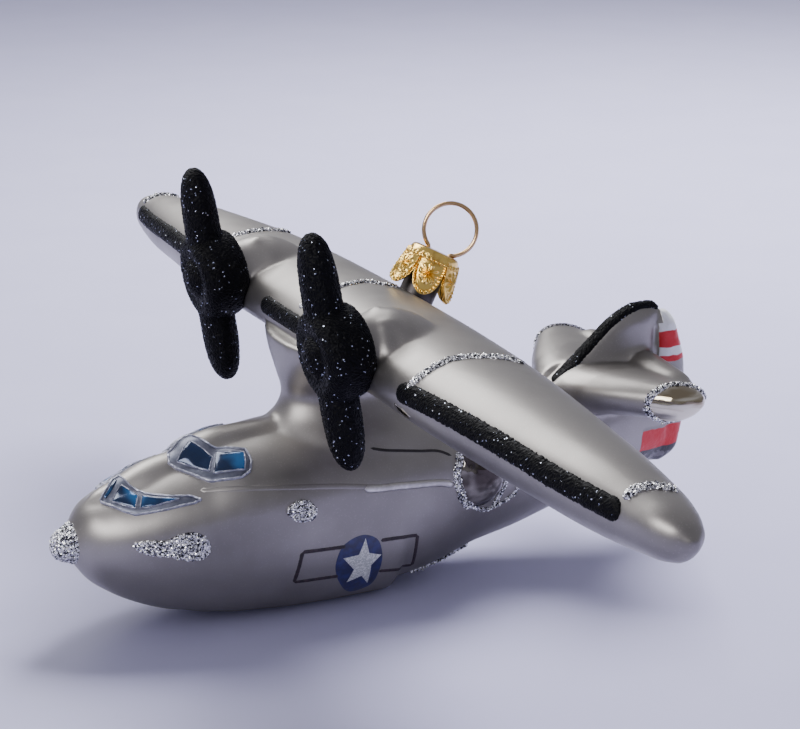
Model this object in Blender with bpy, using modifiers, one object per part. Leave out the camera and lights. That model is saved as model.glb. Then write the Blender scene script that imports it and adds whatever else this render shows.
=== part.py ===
"""A blown-glass tree ornament in the shape of a twin-engined flying boat, its wing carried on a pylon.

Lengths in the tables are millimetres and are turned into metres by MM. A station is the distance aft of the
nose tip, and a waterline is the height above the table that the hull rests on. In the scene +X is port,
-Y is the nose, +Z is up, and the origin lies on the table under the middle of the length.
"""
import math

import bmesh
import bpy
import numpy as np
from mathutils import Matrix, Vector

MM = 0.001
LENGTH = 137.0
ORIGIN_STATION = LENGTH / 2
GAP = 0.3
SIDES = {"port": 1, "starboard": -1}

# Hull: points round each cross-section, and the glittered nose as radius and station of a turned profile.
RING_POINTS = 32
NOSE_WATERLINE = 18.3
NOSE = ((0.0, 0.0), (0.5, 0.0), (1.4, 0.5), (2.4, 1.5), (3.1, 2.6), (3.3, 3.3), (0.0, 3.3))

# Wing: spans of its panels, measured from the centre line.
BAY_INNER = 19.6
BAY_OUTER = 38.0
TIP_JOIN = 100.0
WING_SPAN_HALF = 116.0
WING_POINTS = 30

# Engines: hub centre and the lean of the shaft, nose down.
HUB_X = 28.7
HUB_STATION = 44.6
HUB_WATERLINE = 57.7
SHAFT_LEAN = math.radians(7.2)
# How far each propeller is turned on its shaft, the top blade to starboard.
BLADE_TURN = {"port": math.radians(5.6), "starboard": 0.0}
BLADE_TIP = 21.9
BLADE_WIDTH = 9.2
BLADE_THICK = 6.9
BLADE_TAPER = 0.05
BLADE_MIDDLE = 0.6
# The barrel as radius and height ahead of the hub: spinner, dished front, round shoulder, side and back.
COWL = ((0.0, 5.8), (1.9, 5.5), (3.4, 4.6), (4.0, 3.8), (4.7, 4.1), (6.6, 4.3), (8.0, 3.4), (8.7, 1.8), (8.7, -2.4),
        (7.9, -4.3), (6.6, -5.1), (0.0, -5.1))
# The round knob on top of each nacelle.
KNOB_STATION = 53.8
KNOB_WATERLINE = 62.4
KNOB_RADII = (3.6, 2.6, 2.6)

# Neck, cap and ring: the centre of the cap's top, and how far the neck leans aft.
CAP_STATION = 79.6
CAP_WATERLINE = 65.2
NECK_LEAN = math.radians(27.8)
CAP_TURN = math.radians(63.7)
CAP_TOP_RADIUS = 4.9
CAP_SPLAY = 0.2
CAP_HEIGHT = 8.6
CAP_SHOULDER = -1.3
NOTCH_TOP = 0.42
PETAL_POWER = 3.2
FOIL = 0.45
NECK_RADIUS = 3.55
NECK_BORE = 2.75
NECK_LENGTH = 15.5
BOSS_WALL = 1.0
BOSS_LENGTH = 12.0
LEG_HOLES = (-1.75, 2.6)
HOLE_RADIUS = 0.85
WIRE_RADIUS = 0.42
LOOP_RADIUS = 5.1
LOOP_CENTRE = (0.7, 4.75)
LEG_PATH = ((-2.05, -4.0), (-1.95, -1.2), (-1.75, -0.45), (-1.75, 0.0))

HULL_COLUMNS = ("station", "half_width", "crest", "beam", "keel", "upper_power", "lower_power")
FOREBODY = (
    (3.6, 3.4, 21.6, 18.3, 15.0, 2.0, 2.0),
    (6.0, 6.6, 24.8, 18.5, 11.4, 2.0, 2.0),
    (10.0, 9.6, 26.9, 19.2, 8.0, 2.0, 2.0),
    (16.0, 12.3, 28.9, 20.4, 4.6, 2.0, 2.1),
    (20.5, 13.6, 30.5, 21.2, 2.9, 2.0, 2.2),
    (24.5, 14.5, 31.5, 21.8, 1.9, 2.0, 2.2),
    (27.0, 14.9, 32.1, 22.1, 1.2, 2.0, 2.3),
    (30.0, 15.4, 33.5, 22.6, 0.7, 2.0, 2.3),
    (33.0, 15.8, 34.6, 22.9, 0.2, 2.0, 2.4),
    (36.5, 16.1, 35.0, 23.2, -0.1, 2.0, 2.4),
    (42.0, 16.5, 35.3, 23.5, -0.5, 2.1, 2.5),
    (52.0, 16.8, 36.1, 23.8, -0.8, 2.1, 2.6),
    (65.0, 16.7, 36.6, 23.2, -0.8, 2.1, 2.6),
)
AFTERBODY = (
    (65.3, 16.6, 36.6, 23.2, 1.3, 2.1, 2.2),
    (77.0, 15.6, 36.2, 22.8, 2.2, 2.1, 2.0),
    (84.0, 14.3, 35.9, 22.6, 4.9, 2.0, 1.9),
    (95.0, 11.8, 35.4, 22.6, 7.0, 2.0, 1.9),
    (106.0, 9.4, 34.9, 23.0, 9.6, 2.0, 1.9),
)
TAIL_CONE = (
    (106.3, 9.3, 34.9, 23.0, 9.7, 2.0, 1.9),
    (114.0, 7.8, 34.8, 23.8, 11.4, 2.0, 2.0),
    (122.0, 6.2, 34.4, 24.4, 13.0, 2.0, 2.0),
    (130.4, 4.4, 33.6, 24.6, 14.4, 2.0, 2.0),
)

WING_COLUMNS = ("span", "front", "front_height", "back", "back_height", "half_thick")
WING = (
    (0.0, 48.4, 53.3, 73.6, 57.2, 6.1),
    (30.0, 48.4, 53.0, 73.6, 56.8, 6.1),
    (48.0, 49.0, 52.4, 73.4, 56.1, 6.2),
    (76.0, 52.2, 51.2, 71.8, 54.6, 5.7),
    (100.0, 55.6, 50.2, 69.4, 52.8, 4.9),
    (107.0, 57.0, 49.8, 68.2, 52.0, 4.4),
    (112.0, 58.8, 49.6, 66.4, 51.1, 3.3),
    (115.0, 60.8, 49.5, 64.6, 50.4, 1.9),
    (116.0, 61.8, 49.6, 63.6, 50.1, 1.0),
)

PYLON_COLUMNS = ("waterline", "front", "back", "half_width")
PYLON = (
    (31.0, 40.5, 86.0, 14.2),
    (34.0, 42.6, 82.0, 12.4),
    (37.5, 45.6, 78.0, 8.8),
    (41.0, 47.0, 76.0, 7.2),
    (45.0, 46.4, 75.0, 10.4),
    (49.0, 45.8, 75.0, 15.2),
    (52.0, 45.8, 75.0, 18.2),
)

NACELLE_COLUMNS = ("station", "waterline", "half_width", "half_height")
NACELLE = (
    (48.9, 57.4, 6.2, 6.4),
    (50.4, 56.7, 6.7, 7.4),
    (52.8, 55.9, 8.0, 9.0),
    (55.6, 55.7, 8.3, 9.2),
    (58.8, 56.0, 7.2, 7.6),
    (62.0, 56.4, 5.2, 5.6),
    (65.0, 56.6, 2.6, 3.0),
)

FIN_COLUMNS = ("waterline", "front", "back", "half_thick")
FIN = (
    (33.0, 102.5, 128.8, 3.6),
    (36.0, 106.6, 128.8, 3.2),
    (39.5, 111.2, 128.8, 2.8),
    (43.0, 115.4, 128.8, 2.6),
    (45.9, 119.0, 128.8, 2.3),
    (47.6, 121.8, 128.5, 1.6),
    (48.3, 123.8, 127.2, 0.7),
)
RUDDER = (
    (14.4, 130.7, 132.0, 2.0),
    (16.0, 130.7, 134.6, 2.9),
    (20.0, 130.7, 136.3, 3.4),
    (28.0, 130.7, 136.8, 3.4),
    (33.5, 130.7, 136.9, 3.3),
    (36.5, 129.8, 136.7, 3.1),
    (41.0, 129.6, 135.4, 2.8),
    (45.0, 129.8, 134.0, 2.2),
    (46.8, 130.2, 132.6, 1.2),
)

STABILISER_COLUMNS = ("span", "front", "back", "waterline", "half_thick")
STABILISER = (
    (3.0, 104.0, 130.2, 33.2, 5.4),
    (8.0, 106.0, 130.2, 34.0, 4.9),
    (13.5, 108.8, 129.8, 34.7, 4.3),
    (19.0, 112.4, 129.2, 35.2, 3.9),
    (22.2, 114.8, 128.5, 35.4, 3.7),
)
# The bare glass tip of each stabiliser, which starts where the ring of glitter runs.
STABILISER_END = (
    (22.5, 115.0, 128.4, 35.4, 3.7),
    (24.3, 116.4, 127.8, 35.5, 3.5),
    (25.8, 117.8, 126.6, 35.6, 2.9),
    (26.9, 119.8, 124.8, 35.7, 1.7),
)

# Window groups, one half of each outline as it is seen from above: distance from the centre line, station.
BOW_WINDOWS = ((0.0, 8.4), (3.7, 8.6), (6.8, 10.2), (9.4, 13.2), (11.0, 17.6), (12.7, 25.2), (9.2, 19.0),
               (5.4, 15.6), (0.0, 13.9))
COCKPIT_WINDOWS = ((0.0, 24.0), (3.6, 23.6), (11.1, 27.5), (12.5, 34.4), (10.4, 36.0), (7.0, 36.2), (3.4, 33.0),
                   (0.0, 31.6))
WINDOW_RAISE = 0.7
WINDOW_HEIGHTS = (23.0, 40.0)
BLISTER_CENTRE = (11.4, 82.6, 23.6)
BLISTER_RADII = (5.8, 7.6, 7.4)

# A turned profile's heights point ahead, along -Y, once it is laid over by this turn.
AHEAD = Matrix.Rotation(math.pi / 2, 4, "X")


def along(station):
    """Turns a station in millimetres into the scene's Y in metres."""
    return (station - ORIGIN_STATION) * MM


def clear_scene():
    for obj in list(bpy.data.objects):
        bpy.data.objects.remove(obj, do_unlink=True)
    for mesh in list(bpy.data.meshes):
        bpy.data.meshes.remove(mesh)


def collection(name):
    found = bpy.data.collections.get(name) or bpy.data.collections.new(name)
    if name not in bpy.context.scene.collection.children:
        bpy.context.scene.collection.children.link(found)
    return found


def finish(name, colour, roughness, metallic):
    """A Principled material with one colour, shown in the viewport in the same colour."""
    material = bpy.data.materials.new(name)
    material.use_nodes = True
    shader = material.node_tree.nodes["Principled BSDF"]
    shader.inputs["Base Color"].default_value = (*colour, 1.0)
    shader.inputs["Roughness"].default_value = roughness
    shader.inputs["Metallic"].default_value = metallic
    material.diffuse_color = (*colour, 1.0)
    return material


def new_object(name, mesh, where):
    obj = bpy.data.objects.new(name, mesh)
    where.objects.link(obj)
    return obj


def mesh_from(name, bm):
    bmesh.ops.recalc_face_normals(bm, faces=bm.faces)
    mesh = bpy.data.meshes.new(name)
    bm.to_mesh(mesh)
    bm.free()
    mesh.shade_smooth()
    mesh.set_sharp_from_angle(angle=math.radians(40))
    return mesh


def column(table, names, name, at):
    """Reads one column of a table between its rows along cubic curves, whose slopes np.gradient gives."""
    xs = np.array([row[0] for row in table])
    ys = np.array([row[names.index(name)] for row in table])
    slope = np.gradient(ys, xs)
    i = np.clip(np.searchsorted(xs, at) - 1, 0, len(xs) - 2)
    step = xs[i + 1] - xs[i]
    t = (at - xs[i]) / step
    start = (2 * t**3 - 3 * t**2 + 1) * ys[i] + (t**3 - 2 * t**2 + t) * step * slope[i]
    end = (3 * t**2 - 2 * t**3) * ys[i + 1] + (t**3 - t**2) * step * slope[i + 1]
    return start + end


def spread(table, count):
    """Evenly spaced places between a table's first and last row."""
    return np.linspace(table[0][0], table[-1][0], count)


def closed_rings(name, rings):
    """Joins closed rings of points, in millimetres, and closes both ends with a flat face."""
    bm = bmesh.new()
    rows = [[bm.verts.new(Vector(point) * MM) for point in ring] for ring in rings]
    for low, high in zip(rows, rows[1:]):
        for k in range(len(low)):
            nxt = (k + 1) % len(low)
            bm.faces.new((low[k], low[nxt], high[nxt], high[k]))
    bm.faces.new(rows[0])
    bm.faces.new(rows[-1])
    return mesh_from(name, bm)


def loft(name, rings, material, where):
    """A new object through rings of points that are in the scene's axes."""
    obj = new_object(name, closed_rings(name, rings), where)
    obj.data.materials.append(material)
    return obj


def power(value, exponent):
    return np.sign(value) * np.abs(value) ** exponent


def hull_rings(table, count):
    """Cross-sections of the hull: a superellipse above and below the beam, cut off flat at the table."""
    angle = np.linspace(0, 2 * math.pi, RING_POINTS, endpoint=False)
    at = spread(table, count)
    value = {name: column(table, HULL_COLUMNS, name, at) for name in HULL_COLUMNS[1:]}
    rings = []
    for i, station in enumerate(at):
        upper = np.sin(angle) >= 0
        shape = np.where(upper, value["upper_power"][i], value["lower_power"][i])
        height = np.where(upper, value["crest"][i] - value["beam"][i], value["beam"][i] - value["keel"][i])
        x = value["half_width"][i] * power(np.cos(angle), 2 / shape)
        z = value["beam"][i] + height * power(np.sin(angle), 2 / shape)
        y = np.full_like(x, station - ORIGIN_STATION)
        rings.append(np.stack([x, y, np.maximum(z, 0.0)], axis=1))
    return rings


def section(count):
    """A closed wing section: chord fraction and thickness, a mean of a round form and a tapered one."""
    angle = np.linspace(0, 2 * math.pi, count, endpoint=False)
    chord = (1 - np.cos(angle)) / 2
    ellipse = 2 * np.sqrt(chord * (1 - chord))
    tapered = (0.2969 * np.sqrt(chord) - 0.126 * chord - 0.3516 * chord**2 + 0.2843 * chord**3
               - 0.1015 * chord**4) / 0.1
    return chord, (ellipse + tapered) / 2 * np.sign(np.sin(angle))


def wing_rings(spans, side):
    """The wing's sections at spans out from the centre line, square to the chord that leans nose down."""
    chord, thick = section(WING_POINTS)
    value = {name: column(WING, WING_COLUMNS, name, np.abs(spans)) for name in WING_COLUMNS[1:]}
    rings = []
    for i, span in enumerate(spans):
        run = value["back"][i] - value["front"][i]
        rise = value["back_height"][i] - value["front_height"][i]
        length = math.hypot(run, rise)
        y = value["front"][i] + chord * run - thick * value["half_thick"][i] * rise / length
        z = value["front_height"][i] + chord * rise + thick * value["half_thick"][i] * run / length
        rings.append(np.stack([np.full_like(y, side * span), y - ORIGIN_STATION, z], axis=1))
    return rings


def duplicate(obj, where, grow=0.0):
    """A copy of an object's evaluated mesh, pushed outwards by grow millimetres and kept as a cutter."""
    bpy.context.view_layer.update()
    graph = bpy.context.evaluated_depsgraph_get()
    mesh = bpy.data.meshes.new_from_object(obj.evaluated_get(graph))
    mesh.transform(obj.matrix_world)
    if grow:
        normals = np.empty(len(mesh.vertices) * 3)
        points = np.empty_like(normals)
        mesh.vertices.foreach_get("normal", normals)
        mesh.vertices.foreach_get("co", points)
        mesh.vertices.foreach_set("co", points + normals * grow * MM)
    return new_object(obj.name + "_cutter", mesh, where)


def hide(cutter):
    cutter.hide_render = True
    cutter.display_type = "WIRE"


def combine(target, other, operation):
    """Runs an exact Boolean and keeps its result as the target's own mesh."""
    bpy.context.view_layer.update()
    modifier = target.modifiers.new(operation, "BOOLEAN")
    modifier.operation = operation
    modifier.object = other
    modifier.solver = "EXACT"
    graph = bpy.context.evaluated_depsgraph_get()
    mesh = bpy.data.meshes.new_from_object(target.evaluated_get(graph))
    target.modifiers.clear()
    target.data = mesh
    mesh.shade_smooth()
    mesh.set_sharp_from_angle(angle=math.radians(40))
    hide(other)


def make_hull(parts, lacquer, glitter):
    """The boat's body in three lengths, and the cone of glitter on its nose."""
    lengths = {"hull_forebody": (FOREBODY, 18), "hull_afterbody": (AFTERBODY, 11), "tail_cone": (TAIL_CONE, 7)}
    hull = {}
    for name, (table, count) in lengths.items():
        hull[name] = loft(name, hull_rings(table, count), lacquer, parts)
    profile = [(radius, -station) for radius, station in NOSE]
    nose = turned("nose_cone", profile, parts)
    nose.data.materials.append(glitter)
    nose.matrix_world = Matrix.Translation(Vector((0, along(0.0), NOSE_WATERLINE * MM))) @ AHEAD
    return hull


def make_wing(parts, cutters, lacquer):
    """The centre section, an engine bay with its nacelle, an outer panel and a tip, the last three twice."""
    half = BAY_INNER - GAP / 2
    rings = wing_rings(np.linspace(-half, half, 5), 1)
    wing = {"wing_centre": loft("wing_centre", rings, lacquer, parts)}
    for side_name, side in SIDES.items():
        bay = np.linspace(BAY_INNER + GAP / 2, BAY_OUTER - GAP / 2, 3)
        name = "nacelle_" + side_name
        wing[name] = loft(name, wing_rings(bay, side), lacquer, parts)
        combine(wing[name], nacelle_body(name + "_body", side, cutters), "UNION")
        combine(wing[name], nacelle_bump(name + "_bump", side, cutters), "UNION")
        name = "wing_panel_" + side_name
        panel = np.linspace(BAY_OUTER + GAP / 2, TIP_JOIN - GAP / 2, 8)
        wing[name] = loft(name, wing_rings(panel, side), lacquer, parts)
        name = "wing_tip_" + side_name
        reach = np.linspace(0, math.pi / 2, 6)
        tip = TIP_JOIN + GAP / 2 + (WING_SPAN_HALF - TIP_JOIN - GAP / 2) * np.sin(reach)
        wing[name] = loft(name, wing_rings(tip, side), lacquer, parts)
    return wing


def nacelle_body(name, side, cutters):
    """The engine's fairing: upright ovals from the cowling back into the wing."""
    angle = np.linspace(0, 2 * math.pi, 28, endpoint=False)
    at = spread(NACELLE, 11)
    value = {key: column(NACELLE, NACELLE_COLUMNS, key, at) for key in NACELLE_COLUMNS[1:]}
    rings = []
    for i, station in enumerate(at):
        x = side * HUB_X + value["half_width"][i] * np.cos(angle)
        z = value["waterline"][i] + value["half_height"][i] * np.sin(angle)
        rings.append(np.stack([x, np.full_like(x, station - ORIGIN_STATION), z], axis=1))
    return loft(name, rings, None, cutters)


def nacelle_bump(name, side, cutters):
    """The round knob on top of each nacelle, just behind the cowling."""
    bm = bmesh.new()
    bmesh.ops.create_uvsphere(bm, u_segments=16, v_segments=10, radius=1.0)
    bmesh.ops.scale(bm, vec=Vector(KNOB_RADII) * MM, verts=bm.verts)
    centre = Vector((side * HUB_X, KNOB_STATION - ORIGIN_STATION, KNOB_WATERLINE))
    bmesh.ops.translate(bm, vec=centre * MM, verts=bm.verts)
    return new_object(name, mesh_from(name, bm), cutters)


def make_pylon(parts, cutters, lacquer, hull, wing):
    """The waisted pylon, cut to sit on the hull and under the wing, with the boss that the neck stands on."""
    angle = np.linspace(0, 2 * math.pi, 32, endpoint=False)
    at = spread(PYLON, 10)
    value = {key: column(PYLON, PYLON_COLUMNS, key, at) for key in PYLON_COLUMNS[1:]}
    rings = []
    for i, height in enumerate(at):
        half = (value["back"][i] - value["front"][i]) / 2
        middle = (value["back"][i] + value["front"][i]) / 2
        x = value["half_width"][i] * power(np.sin(angle), 0.9)
        y = middle - half * power(np.cos(angle), 0.8) - ORIGIN_STATION
        rings.append(np.stack([x, y, np.full_like(x, height)], axis=1))
    pylon = loft("pylon", rings, lacquer, parts)
    boss = new_object("boss", cylinder_mesh("boss", NECK_RADIUS + BOSS_WALL, BOSS_LENGTH), cutters)
    boss.matrix_world = neck_frame() @ Matrix.Translation(Vector((0, 0, -(NECK_LENGTH + BOSS_LENGTH + GAP) * MM)))
    combine(pylon, boss, "UNION")
    for neighbour in (hull["hull_forebody"], hull["hull_afterbody"], wing["wing_centre"]):
        combine(pylon, duplicate(neighbour, cutters, GAP), "DIFFERENCE")
    return pylon


def neck_frame():
    """The frame of the neck: its origin at the middle of the cap's top, Z along the neck, X along the legs' row."""
    place = Matrix.Translation(Vector((0, along(CAP_STATION), CAP_WATERLINE * MM)))
    return place @ Matrix.Rotation(-NECK_LEAN, 4, "X") @ Matrix.Rotation(CAP_TURN, 4, "Z")


def cylinder_mesh(name, radius, length, segments=32):
    """A closed cylinder from its foot at the origin up along Z, millimetres."""
    bm = bmesh.new()
    bmesh.ops.create_cone(bm, cap_ends=True, segments=segments, radius1=radius * MM, radius2=radius * MM,
                          depth=length * MM)
    bmesh.ops.translate(bm, vec=Vector((0, 0, length / 2 * MM)), verts=bm.verts)
    return mesh_from(name, bm)


def turned(name, profile, where, segments=32):
    """A profile of radius and height, millimetres, turned about Z by a Screw modifier, as a closed solid.

    A profile that starts and ends on the axis is left open there, and any other is joined end to end.
    """
    mesh = bpy.data.meshes.new(name)
    verts = [(radius * MM, 0, height * MM) for radius, height in profile]
    edges = [(i, i + 1) for i in range(len(profile) - 1)]
    if profile[0][0] > 0:
        edges.append((len(profile) - 1, 0))
    mesh.from_pydata(verts, edges, [])
    obj = new_object(name, mesh, where)
    screw = obj.modifiers.new("turn", "SCREW")
    screw.steps = segments
    screw.render_steps = segments
    screw.use_merge_vertices = True
    screw.merge_threshold = 0.00001
    return settle(obj)


def settle(obj):
    """Replaces an object's modifiers by the mesh that they give, with its normals out."""
    graph = bpy.context.evaluated_depsgraph_get()
    mesh = bpy.data.meshes.new_from_object(obj.evaluated_get(graph))
    obj.modifiers.clear()
    bm = bmesh.new()
    bm.from_mesh(mesh)
    bmesh.ops.remove_doubles(bm, verts=bm.verts, dist=0.000005)
    obj.data = mesh_from(obj.name, bm)
    return obj


def make_neck(parts, cutters, glass, gold, copper, wing, pylon):
    """The glass neck, the crown cap with its four petals, and the wire ring whose legs hang in the neck."""
    frame = neck_frame()
    foot = -NECK_LENGTH
    top = -FOIL - GAP
    profile = [(NECK_RADIUS, top), (NECK_RADIUS, foot), (NECK_BORE, foot), (NECK_BORE, top)]
    neck = turned("neck_tube", profile, parts, 24)
    neck.matrix_world = frame
    neck.data.materials.append(glass)
    # The wing makes room for the boss and the neck, and the boss makes room for the neck's foot.
    rooms = ((wing["wing_centre"], NECK_RADIUS + BOSS_WALL + GAP, BOSS_LENGTH), (pylon, NECK_RADIUS + GAP, GAP))
    for body, radius, depth in rooms:
        room = new_object("neck_room", cylinder_mesh("neck_room", radius, depth + BOSS_LENGTH), cutters)
        room.matrix_world = frame @ Matrix.Translation(Vector((0, 0, (foot - depth) * MM)))
        combine(body, room, "DIFFERENCE")

    cap = loft("crown_cap", cap_rings(), gold, parts)
    for place in LEG_HOLES:
        hole = new_object("leg_hole", cylinder_mesh("leg_hole", HOLE_RADIUS, 4.0, 16), cutters)
        hole.matrix_world = Matrix.Translation(Vector((place, 0, -2.0)) * MM)
        combine(cap, hole, "DIFFERENCE")
    cap.matrix_world = frame

    ring = wire_ring(parts)
    ring.data.materials.append(copper)
    ring.matrix_world = frame


def cap_rings():
    """Rings of the crown cap: over the flat top, down the splayed skirt outside, and back up inside it.

    The skirt's lower edge is scalloped into four petals, so each ring between the shoulder and the edge goes
    a fixed part of the way down to it.
    """
    angle = np.linspace(0, 2 * math.pi, 48, endpoint=False)
    petal = np.abs((angle / (math.pi / 2)) % 1.0 - 0.5) * 2
    edge = -CAP_HEIGHT * (NOTCH_TOP + (1 - NOTCH_TOP) * (1 - petal**PETAL_POWER) ** 0.5)

    def ring(radius, height):
        height = height + np.zeros_like(angle)
        return np.stack([radius * np.cos(angle), radius * np.sin(angle), height], axis=1)

    def skirt(part, inset):
        height = CAP_SHOULDER + part * (edge - CAP_SHOULDER)
        return ring(CAP_TOP_RADIUS + 0.15 + CAP_SPLAY * (CAP_SHOULDER - height) - inset, height)

    outside = [ring(3.7, 0.0), ring(4.5, -0.2), ring(CAP_TOP_RADIUS, -0.7)]
    outside += [skirt(part, 0.0) for part in (0.0, 0.3, 0.6, 0.85, 1.0)]
    inside = [skirt(part, FOIL) for part in (1.0, 0.85, 0.6, 0.3, 0.0)]
    inside += [ring(4.2, -0.7), ring(3.6, -FOIL)]
    return outside + inside


def wire_ring(parts):
    """A wire loop on two legs that pass through the cap's holes and hang in the neck."""
    middle, height = LOOP_CENTRE
    start = math.asin((0.45 - height) / LOOP_RADIUS)
    turn = np.linspace(start, math.pi - start, 27)
    arc = [(middle + LOOP_RADIUS * math.cos(t), height + LOOP_RADIUS * math.sin(t)) for t in turn]
    right = [(sum(LEG_HOLES) - x if z > -1 else -x, z) for x, z in LEG_PATH]
    points = [(x, 0, z) for x, z in right + arc + list(LEG_PATH)[::-1]]
    curve = bpy.data.curves.new("hanger_ring", "CURVE")
    curve.dimensions = "3D"
    curve.bevel_depth = WIRE_RADIUS * MM
    curve.bevel_resolution = 2
    curve.use_fill_caps = True
    spline = curve.splines.new("POLY")
    spline.points.add(len(points) - 1)
    for point, place in zip(spline.points, points):
        point.co = (*(Vector(place) * MM), 1.0)
    return new_object("hanger_ring", curve, parts)


def make_propellers(parts, cutters, glitter, wing):
    """A barrel cowling with a domed spinner and two fat blades, joined into one piece on each side."""
    for side_name, side in SIDES.items():
        cowl = turned("propeller_" + side_name, COWL, parts)
        cowl.data.materials.append(glitter)
        combine(cowl, new_object("blades", blade_mesh(), cutters), "UNION")
        hub = Vector((side * HUB_X * MM, along(HUB_STATION), HUB_WATERLINE * MM))
        shaft = Matrix.Translation(hub) @ Matrix.Rotation(SHAFT_LEAN, 4, "X") @ AHEAD
        cowl.matrix_world = shaft @ Matrix.Rotation(BLADE_TURN[side_name], 4, "Z")
        combine(wing["nacelle_" + side_name], duplicate(cowl, cutters, GAP), "DIFFERENCE")


def blade_mesh():
    """Both blades as one long body of oval sections along Y, in the cowling's own frame, fuller below."""
    angle = np.linspace(0, 2 * math.pi, 20, endpoint=False)
    rings = []
    for turn in np.linspace(-math.pi / 2, math.pi / 2, 17):
        out = math.sin(turn)
        full = max(1 - abs(out) ** 6, 0.0144) ** 0.5
        width = BLADE_WIDTH / 2 * full * (0.88 + 0.12 * abs(out)) * (1 - BLADE_TAPER * out)
        thick = BLADE_THICK / 2 * full
        x = width * np.cos(angle)
        rings.append(np.stack([x, np.full_like(x, BLADE_TIP * out), BLADE_MIDDLE + thick * np.sin(angle)], axis=1))
    return closed_rings("blades", rings)


def upright_rings(table, count):
    """Level sections of the fin or rudder: rounded in front and behind, flat between."""
    angle = np.linspace(0, 2 * math.pi, 24, endpoint=False)
    at = spread(table, count)
    value = {key: column(table, FIN_COLUMNS, key, at) for key in FIN_COLUMNS[1:]}
    rings = []
    for i, height in enumerate(at):
        middle = (value["front"][i] + value["back"][i]) / 2
        half = (value["back"][i] - value["front"][i]) / 2
        x = value["half_thick"][i] * power(np.sin(angle), 0.8)
        y = middle - half * power(np.cos(angle), 0.9) - ORIGIN_STATION
        rings.append(np.stack([x, y, np.full_like(x, height)], axis=1))
    return rings


def stabiliser_rings(table, count, side):
    """The wing's kind of section again, level, from the tail cone outwards."""
    chord, thick = section(28)
    at = spread(table, count)
    value = {key: column(table, STABILISER_COLUMNS, key, at) for key in STABILISER_COLUMNS[1:]}
    rings = []
    for i, span in enumerate(at):
        y = value["front"][i] + chord * (value["back"][i] - value["front"][i]) - ORIGIN_STATION
        z = value["waterline"][i] + thick * value["half_thick"][i]
        rings.append(np.stack([np.full_like(y, side * span), y, z], axis=1))
    return rings


def make_tail(parts, cutters, lacquer, enamel, bare, hull):
    """Fin, rudder, and a stabiliser with its bare glass end on each side."""
    fin = loft("fin", upright_rings(FIN, 10), lacquer, parts)
    rudder = loft("rudder", upright_rings(RUDDER, 12), enamel, parts)
    for neighbour in (hull["tail_cone"], hull["hull_afterbody"], rudder):
        combine(fin, duplicate(neighbour, cutters, GAP), "DIFFERENCE")
    for side_name, side in SIDES.items():
        stabiliser = loft("stabiliser_" + side_name, stabiliser_rings(STABILISER, 6, side), lacquer, parts)
        for neighbour in (hull["tail_cone"], hull["hull_afterbody"], fin):
            combine(stabiliser, duplicate(neighbour, cutters, GAP), "DIFFERENCE")
        loft("stabiliser_end_" + side_name, stabiliser_rings(STABILISER_END, 4, side), bare, parts)


def make_blisters(parts, cutters, glass, hull):
    """The two bulging glass windows on the hull's sides, aft of the wing."""
    for side_name, side in SIDES.items():
        bm = bmesh.new()
        bmesh.ops.create_uvsphere(bm, u_segments=24, v_segments=14, radius=1.0)
        bmesh.ops.scale(bm, vec=Vector(BLISTER_RADII) * MM, verts=bm.verts)
        centre = Vector((side * BLISTER_CENTRE[0], BLISTER_CENTRE[1] - ORIGIN_STATION, BLISTER_CENTRE[2]))
        bmesh.ops.translate(bm, vec=centre * MM, verts=bm.verts)
        blister = new_object("blister_" + side_name, mesh_from("blister_" + side_name, bm), parts)
        blister.data.materials.append(glass)
        combine(blister, duplicate(hull["hull_afterbody"], cutters, GAP), "DIFFERENCE")


def make_windows(parts, cutters, enamel, hull):
    """The two raised window groups, which wrap over the bow and the cockpit from side to side."""
    for name, half in (("bow_windows", BOW_WINDOWS), ("cockpit_windows", COCKPIT_WINDOWS)):
        shell = duplicate(hull["hull_forebody"], parts, WINDOW_RAISE)
        shell.name = name
        shell.data.materials.clear()
        shell.data.materials.append(enamel)
        combine(shell, duplicate(hull["hull_forebody"], cutters, GAP), "DIFFERENCE")
        outline = list(half) + [(-x, s) for x, s in reversed(half) if x]
        rings = [[(x, s - ORIGIN_STATION, w) for x, s in outline] for w in WINDOW_HEIGHTS]
        combine(shell, loft(name + "_outline", rings, None, cutters), "INTERSECT")


def main():
    clear_scene()
    parts = collection("flying_boat_ornament")
    cutters = collection("cutters")
    lacquer = finish("silver_lacquer", (0.36, 0.345, 0.335), 0.34, 0.85)
    silver_glitter = finish("silver_glitter", (0.72, 0.72, 0.74), 0.5, 0.9)
    black_glitter = finish("black_glitter", (0.012, 0.012, 0.016), 0.6, 0.1)
    bare_glass = finish("silvered_glass", (0.62, 0.60, 0.52), 0.08, 1.0)
    blue_enamel = finish("blue_enamel", (0.03, 0.12, 0.28), 0.15, 0.2)
    red_enamel = finish("red_and_white_enamel", (0.62, 0.05, 0.06), 0.35, 0.0)
    gold_foil = finish("gold_foil", (0.83, 0.62, 0.22), 0.28, 1.0)
    copper_wire = finish("copper_wire", (0.62, 0.42, 0.26), 0.25, 1.0)

    hull = make_hull(parts, lacquer, silver_glitter)
    wing = make_wing(parts, cutters, lacquer)
    pylon = make_pylon(parts, cutters, lacquer, hull, wing)
    make_neck(parts, cutters, bare_glass, gold_foil, copper_wire, wing, pylon)
    make_propellers(parts, cutters, black_glitter, wing)
    make_tail(parts, cutters, lacquer, red_enamel, bare_glass, hull)
    make_blisters(parts, cutters, bare_glass, hull)
    make_windows(parts, cutters, blue_enamel, hull)


main()
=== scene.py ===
# %% [markdown]
# # A blown-glass flying boat for the tree
#
# The real object is a tree ornament. Its body was blown into a mould as one bubble of glass, silvered,
# coated with satin grey lacquer, and then painted and edged with glitter by hand. A gold cap with a wire
# ring is pushed on to the neck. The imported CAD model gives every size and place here, so this script only
# has to dress it.

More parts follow.
